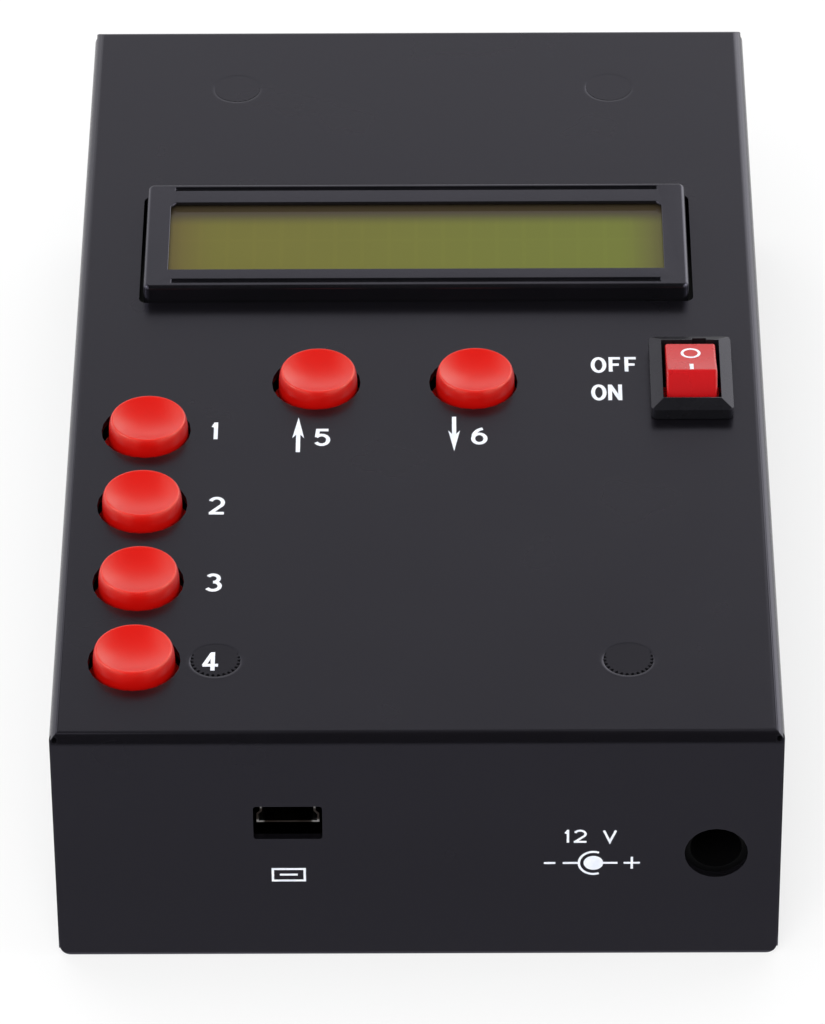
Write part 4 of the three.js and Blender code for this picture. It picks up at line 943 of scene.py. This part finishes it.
LETTERS = {
    "1": (0.5, [[(0.0, 0.74), (0.5, 0.97)], [(0.62, 1.07), (0.62, -0.07)]]),
    "2": (1.0, [bow((0.5, 0.7), (0.5, 0.3), 160, -38) + [(0.1, 0.05)], [(-0.1, 0), (1.1, 0)]]),
    "3": (1.0, [bow((0.46, 0.76), (0.44, 0.24), 150, -88), bow((0.46, 0.27), (0.54, 0.27), 88, -150)]),
    "4": (1.0, [[(-0.1, 0.26), (1.1, 0.26)], [(0.0, 0.24), (0.62, 1)], [(0.68, 1.07), (0.68, -0.07)]]),
    "5": (1.0, [[(1.0, 1), (0.16, 1), (0.08, 0.52)], bow((0.47, 0.33), (0.53, 0.33), 145, -150)]),
    "6": (1.0, [bow((0.5, 0.32), (0.5, 0.32), 0, 360, 20), bow((0.95, 0.34), (0.95, 0.66), 165, 100, 8)]),
    "O": (1.1, [bow((0.5, 0.5), (0.5, 0.5), 0, 360, 24)]),
    "F": (0.95, [[(0, 0), (0, 1), (1, 1)], [(0.12, 0.52), (0.86, 0.52)]]),
    "N": (1.0, [[(0, -0.07), (0, 1.07)], [(0.05, 1), (0.95, 0)], [(1, -0.07), (1, 1.07)]]),
    "V": (1.1, [[(0, 1), (0.5, 0), (1, 1)]]),
}


def drawn(paths, pen):
    """Paths in millimetres as one thin print, as broad as the pen."""
    bm = bmesh.new()
    for number, path in enumerate(paths):
        round_trip = path[0] == path[-1] or (Vector(path[0]) - Vector(path[-1])).length < 0.01
        points = path[:-1] if round_trip else path
        corners = [bm.verts.new((x * MM, y * MM, number * STROKE_STEP)) for x, y in points]
        line = [bm.edges.new(pair) for pair in zip(corners, corners[1:])]
        if round_trip:
            line.append(bm.edges.new((corners[-1], corners[0])))
        wall = bmesh.ops.extrude_edge_only(bm, edges=line)["geom"]
        bmesh.ops.translate(bm, vec=(0, 0, PRINT_DEPTH), verts=points_of(wall))
    blank = loose(bm)
    broad = blank.modifiers.new("broad", "SOLIDIFY")
    broad.thickness = pen * MM
    broad.offset = 0
    broad.use_even_offset = True
    return settled(blank)


def word(text, left, low, height, width, pen, gap):
    """The paths of a word whose letters are so wide, in millimetres."""
    paths = []
    for letter in text:
        if letter == " ":
            left += width
            continue
        share, lines = LETTERS[letter]
        reach = (share * width - pen, height - pen)
        for line in lines:
            paths.append([(left + pen / 2 + x * reach[0], low + pen / 2 + y * reach[1]) for x, y in line])
        left += share * width + gap
    return drawn(paths, pen)


def flat(outlines):
    """Closed outlines in millimetres as one thin print."""
    bm = bmesh.new()
    for outline in outlines:
        face = bm.faces.new([bm.verts.new((x * MM, y * MM, 0)) for x, y in outline])
        raised = bmesh.ops.extrude_face_region(bm, geom=[face])["geom"]
        bmesh.ops.translate(bm, vec=(0, 0, PRINT_DEPTH), verts=points_of(raised))
    bmesh.ops.recalc_face_normals(bm, faces=bm.faces)
    return bm


def put_sign(name, bm, plane, body="case"):
    bm.transform(plane)
    return finish_piece(name, bm, print_white, body=body, sharp=30)


# %% Signs on the panel
row_y = [sum(corner.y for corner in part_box(f"button_cap_{index}")) / 2 / MM for index in range(1, 7)]
LETTER, LETTER_WIDTH, PEN, LETTER_GAP = 3.6, 2.1, 0.52, 0.3
COLUMN_X, COLUMN_DROP = -26.3, 0.1
for index in range(4):
    low = row_y[index] - COLUMN_DROP - LETTER / 2
    number = word(str(index + 1), COLUMN_X, low, LETTER, LETTER_WIDTH, PEN, LETTER_GAP)
    # The 4 lies on a standoff's head, which stands a trace proud
    lift = DISC_PROUD if index == 3 else 0
    put_sign(f"number_{index + 1}", number, Matrix.Translation((0, 0, lift)) @ ON_PANEL)
for digit, left, low in (("5", -13.2, -18.35), ("6", 6.8, -18.15)):
    number = word(digit, left, low, LETTER, LETTER_WIDTH, PEN, LETTER_GAP)
    put_sign(f"number_{digit}", number, ON_PANEL)
put_sign("sign_off", word("OFF", left=22.3, low=-3.05, height=3.35, width=1.83, pen=0.5, gap=0.3), ON_PANEL)
put_sign("sign_on", word("ON", left=22.25, low=-8.95, height=3.4, width=1.8, pen=0.5, gap=0.2), ON_PANEL)
ARROW_BARB, ARROW_SHAFT, ARROW_SHARES = 0.75, 0.27, (0.60, 0.50)
for name, x, tip, tail in (("up", -15.2, -12.3, -19.6), ("down", 4.65, -19.5, -12.3)):
    barb, notch = (tip + (tail - tip) * share for share in ARROW_SHARES)
    right_side = [(x + ARROW_BARB, barb), (x + ARROW_SHAFT, notch), (x + ARROW_SHAFT, tail)]
    left_side = [(2 * x - along_x, y) for along_x, y in reversed(right_side)]
    put_sign(f"arrow_{name}", flat([[(x, tip), *right_side, *left_side]]), ON_PANEL)
print("numbers at y", [round(value, 1) for value in row_y])

# %% Signs on the front wall and the rocker
FRONT_PEN, POLE_X, POLE_Z = 0.3, 21.5, 14.7
POLE_LINES = ((15.45, 16.85), (17.75, 19.6), (22.6, 24.45), (25.2, 27.2))
POLE_RING, POLE_DOT, PLUS_X, PLUS_HALF = (1.78, 1.78), (1.2, 1.12), 26.2, 0.95
supply = word("12 V", left=17.9, low=17.95, height=2.1, width=1.6, pen=FRONT_PEN, gap=0.35)
put_sign("sign_supply", supply, ON_FRONT)
poles = [[(start, POLE_Z), (end, POLE_Z)] for start, end in POLE_LINES]
poles.append(bow((POLE_X, POLE_Z), POLE_RING, 68, 292, 24))
put_sign("polarity_lines", drawn(poles, FRONT_PEN), ON_FRONT)
upright = drawn([[(PLUS_X, POLE_Z - PLUS_HALF), (PLUS_X, POLE_Z + PLUS_HALF)]], FRONT_PEN)
put_sign("polarity_upright", upright, ON_FRONT)
put_sign("polarity_dot", flat([bow((POLE_X, POLE_Z), POLE_DOT, 0, 350, 35)]), ON_FRONT)
MARK_X, MARK_Z, TONGUE_X, TONGUE_Z = (-17.75, -13.85), (12.0, 13.85), (-16.9, -14.7), 12.95
socket_frame = [(MARK_X[i], MARK_Z[j]) for i, j in ((0, 0), (1, 0), (1, 1), (0, 1), (0, 0))]
tongue_line = [(x, TONGUE_Z) for x in TONGUE_X]
put_sign("socket_mark", drawn([socket_frame, tongue_line], FRONT_PEN), ON_FRONT)

slope = math.atan(ROCKER_VALLEY / (ROCKER_END - ROCKER_LEAN))
valley = at_rest @ Matrix.Translation((0, 0, (ROCKER_TOP - ROCKER_VALLEY) * MM))
RING_Y, RING_REACH, RING_PEN = 1.6, (1.1, 1.1), 0.36
BAR_START, BAR_END, BAR_PEN = -4.0, -1.9, 0.5
ring = drawn([bow((0, RING_Y / math.cos(slope)), RING_REACH, 0, 360, 40)], RING_PEN)
put_sign("rocker_ring", ring, valley @ Matrix.Rotation(slope, 4, "X"), "rocker")
bar = drawn([[(0, BAR_START), (0, BAR_END)]], BAR_PEN)
put_sign("rocker_bar", bar, valley @ Matrix.Rotation(-slope, 4, "X"), "rocker")
print("polarity sign at", POLE_Z, "mm")

# %% [markdown]
# ## Sockets in the front wall
# Behind the slot sits a small data socket, a folded shell round a tongue, and behind the round hole a
# supply jack with a pin and a spring leaf. Little of them is seen, mostly glints, so softened copies of
# their solids are enough. The contacts on the tongue are what a close look finds.

# %% Front sockets
shell_low, shell_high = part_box("data_socket_shell")
shell_middle = (shell_low.x + shell_high.x) / 2
# The shell's tin is made dark as painted shade, since it sits deep in the slot; the light bands at its side
# corners, high and low, are painted glints.
tin_with_painted_shade_and_glints = Finish("tin_with_painted_shade_and_glints", srgb(66, 58, 54), 0.34, metallic=1.0).mottle(srgb(84, 78, 74), 700)
GLINT_X, GLINT_FADE, GLINT_BANDS = 2.75, 0.4, ((22.5, 22.9), (20.95, 20.75))
for side in (-1, 1):
    start = shell_middle + side * GLINT_X * MM
    for from_z, to_z in GLINT_BANDS:
        glint = node(tin_with_painted_shade_and_glints.tree, "ShaderNodeMath", operation="MULTIPLY")
        tin_with_painted_shade_and_glints.link(along(tin_with_painted_shade_and_glints, "X", start, start + side * GLINT_FADE * MM), glint.inputs[0])
        tin_with_painted_shade_and_glints.link(along(tin_with_painted_shade_and_glints, "Z", from_z * MM, to_z * MM), glint.inputs[1])
        tin_with_painted_shade_and_glints.tint(glint.outputs[0], srgb(214, 213, 210))
tin_with_painted_shade_and_glints.polish(0.08, 900).grain(2500, 0.000004)

soft_copies(
    ("data_socket_shell", tin_with_painted_shade_and_glints, "zinc_steel"),
    ("data_socket_tongue", dark_plastic, "black_plastic"),
    ("jack_body", jack_black, "black_plastic"),
    ("jack_pin", nickel, "nickel"),
    ("jack_spring", brass, "spring_brass"),
)
tongue_low, tongue_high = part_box("data_socket_tongue")
tongue_centre = (tongue_low.x + tongue_high.x) / 2
tongue_under = shell_high.z - 1.8 * MM
CONTACT_PITCH, CONTACT_HALF, CONTACT_PROUD, CONTACT_SUNK = 0.8 * MM, 0.18 * MM, 0.06 * MM, 0.05 * MM
CONTACT_FRONT, CONTACT_BACK = 0.3 * MM, 1.8 * MM
bm = bmesh.new()
for number in range(-2, 3):
    x = tongue_centre + number * CONTACT_PITCH
    add_block(
        bm,
        (x - CONTACT_HALF, tongue_low.y + CONTACT_FRONT, tongue_under - CONTACT_PROUD),
        (x + CONTACT_HALF, tongue_high.y - CONTACT_BACK, tongue_under + CONTACT_SUNK),
    )
finish_piece("socket_contacts", bm, brass, bevel=0.02 * MM, segments=1)
print("five contacts under the tongue at z", round(tongue_under / MM, 2))

# %% [markdown]
# ## The antenna socket
# It is the most worked part of the back: a square flange, a barrel with a fine thread, a crown of notches
# in its rim, a white insulator and a split contact. The thread is one zigzag line of teeth that climbs by
# one pitch as it is spun once round. Both ends are then sliced flat, drawn inwards and bridged, so the
# barrel is one closed body.

# %% Antenna socket
socket_low, socket_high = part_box("antenna_socket")
socket_axis = Matrix.Translation((0, cover_high.y, (socket_low.z + socket_high.z) / 2))
along_barrel = socket_axis @ Matrix.Rotation(-math.pi / 2, 4, "X")
PITCH, CREST_SHARES = 1.058, (0.42, 0.58)
BARREL, ROOT, BORE = 7.95, 7.4, 6.35
FLANGE, FLANGE_TOP, FLANGE_GAP, THREAD_SUNK = 25.4, 2.4, 0.05, 0.6
NOTCH_REACH, NOTCH_HALF, NOTCH_DEEP = 12, 0.8, 0.9
RIM = (socket_high.y - cover_high.y) / MM
STEPS = 72


def threaded_tube(start, end):
    bm = bmesh.new()
    turns = int((end - start) / PITCH) + 3
    corners = []
    for number in range(turns):
        base = start - PITCH + number * PITCH
        corners.append(bm.verts.new((ROOT * MM, 0, base * MM)))
        for share in CREST_SHARES:
            corners.append(bm.verts.new((BARREL * MM, 0, (base + share * PITCH) * MM)))
    line = [bm.edges.new(pair) for pair in zip(corners, corners[1:])]
    bmesh.ops.spin(
        bm, geom=corners + line, cent=(0, 0, 0), axis=(0, 0, 1), angle=math.tau, steps=STEPS,
        dvec=(0, 0, PITCH / STEPS * MM),
    )
    bmesh.ops.remove_doubles(bm, verts=bm.verts, dist=THREAD_WELD)
    for height, side in ((start, -1), (end, 1)):
        whole = bm.verts[:] + bm.edges[:] + bm.faces[:]
        bmesh.ops.bisect_plane(
            bm, geom=whole, plane_co=(0, 0, height * MM), plane_no=(0, 0, side), clear_outer=True
        )
    rims = []
    for height in (start, end):
        open_edges = [edge for edge in bm.edges if edge.is_boundary]
        rim = [edge for edge in open_edges if abs(edge.verts[0].co.z - height * MM) < THREAD_WELD]
        pulled = bmesh.ops.extrude_edge_only(bm, edges=rim)["geom"]
        for point in points_of(pulled):
            flat_part = Vector((point.co.x, point.co.y, 0)).normalized() * BORE * MM
            point.co = (flat_part.x, flat_part.y, point.co.z)
        rims += [item for item in pulled if isinstance(item, bmesh.types.BMEdge) and item.is_boundary]
    bmesh.ops.bridge_loops(bm, edges=rims)
    bmesh.ops.recalc_face_normals(bm, faces=bm.faces)
    return bm


notches = []
for turn in (math.pi / 4, 3 * math.pi / 4):
    notch = bmesh.new()
    add_block(
        notch,
        (-NOTCH_REACH * MM, -NOTCH_HALF * MM, (RIM - NOTCH_DEEP) * MM),
        (NOTCH_REACH * MM, NOTCH_HALF * MM, (RIM + 1) * MM),
    )
    notch.transform(Matrix.Rotation(turn, 4, "Z"))
    notches.append(notch)
barrel = carved(loose(threaded_tube(FLANGE_TOP + THREAD_SUNK, RIM)), *notches)
barrel.transform(along_barrel)
finish_piece("antenna_barrel", barrel, nickel, stands_for=["antenna_socket"], sharp=28)
print("barrel of", round(RIM - FLANGE_TOP, 2), "mm with a pitch of", PITCH)

# %% [markdown]
# The flange starts as a block whose four upright edges are rounded. The screw holes and the middle are cut
# out of it, and a bevel breaks its edges. Behind it a sleeve goes through the wall, and a floor closes the
# barrel's bore round the insulator.

# %% Flange and sleeve
CORNER_ROUND, MIDDLE_HOLE, SCREW_HOLE, SCREW_PLACE, HOLE_DEEP = 2, 4.8, 1.6, 9.1, 8
half = FLANGE / 2 * MM
plate = bmesh.new()
add_block(plate, (-half, -half, FLANGE_GAP * MM), (half, half, FLANGE_TOP * MM))
upright = [edge for edge in plate.edges if abs(edge.verts[0].co.z - edge.verts[1].co.z) > MM]
bmesh.ops.bevel(
    plate, geom=upright, offset=CORNER_ROUND * MM, offset_type="OFFSET", segments=8, profile=0.5,
    affect="EDGES", material=-1,
)
screw_places = [(x, y, SCREW_HOLE) for y in (SCREW_PLACE, -SCREW_PLACE) for x in (SCREW_PLACE, -SCREW_PLACE)]
holes = []
for x, y, radius in [(0, 0, MIDDLE_HOLE), *screw_places]:
    hole = bmesh.new()
    bmesh.ops.create_cone(
        hole, cap_ends=True, segments=40, radius1=radius * MM, radius2=radius * MM, depth=HOLE_DEEP * MM,
        matrix=Matrix.Translation((x * MM, y * MM, MM)),
    )
    holes.append(hole)
plate = carved(loose(plate), *holes)
plate.transform(along_barrel)
finish_piece("antenna_flange", plate, nickel, bevel=0.15 * MM)

SLEEVE_BORE, SLEEVE_STEP, SLEEVE_WIDE, SLEEVE_START, BORE_FLOOR = 4.75, 4.85, 6, -5, 6.4
collar, collar_top, lining = BARREL - 0.75, FLANGE_TOP + 0.7, BORE - 0.02
sleeve = [
    (SLEEVE_BORE, SLEEVE_START), (SLEEVE_WIDE, SLEEVE_START), (SLEEVE_WIDE, FLANGE_GAP),
    (SLEEVE_STEP, FLANGE_GAP), (SLEEVE_STEP, FLANGE_TOP), (collar, FLANGE_TOP), (collar, collar_top),
    (lining, collar_top), (lining, BORE_FLOOR), (SLEEVE_BORE, BORE_FLOOR),
]
bm = turned([(radius * MM, height * MM) for radius, height in sleeve], steps=STEPS, closed=True)
bm.transform(along_barrel)
finish_piece("antenna_sleeve", bm, nickel, sharp=30)
soft_copies(
    ("antenna_insulator", insulator_white, "insulator_white"),
    ("antenna_contact", brass, "spring_brass"),
)
print("flange", FLANGE, "mm square")
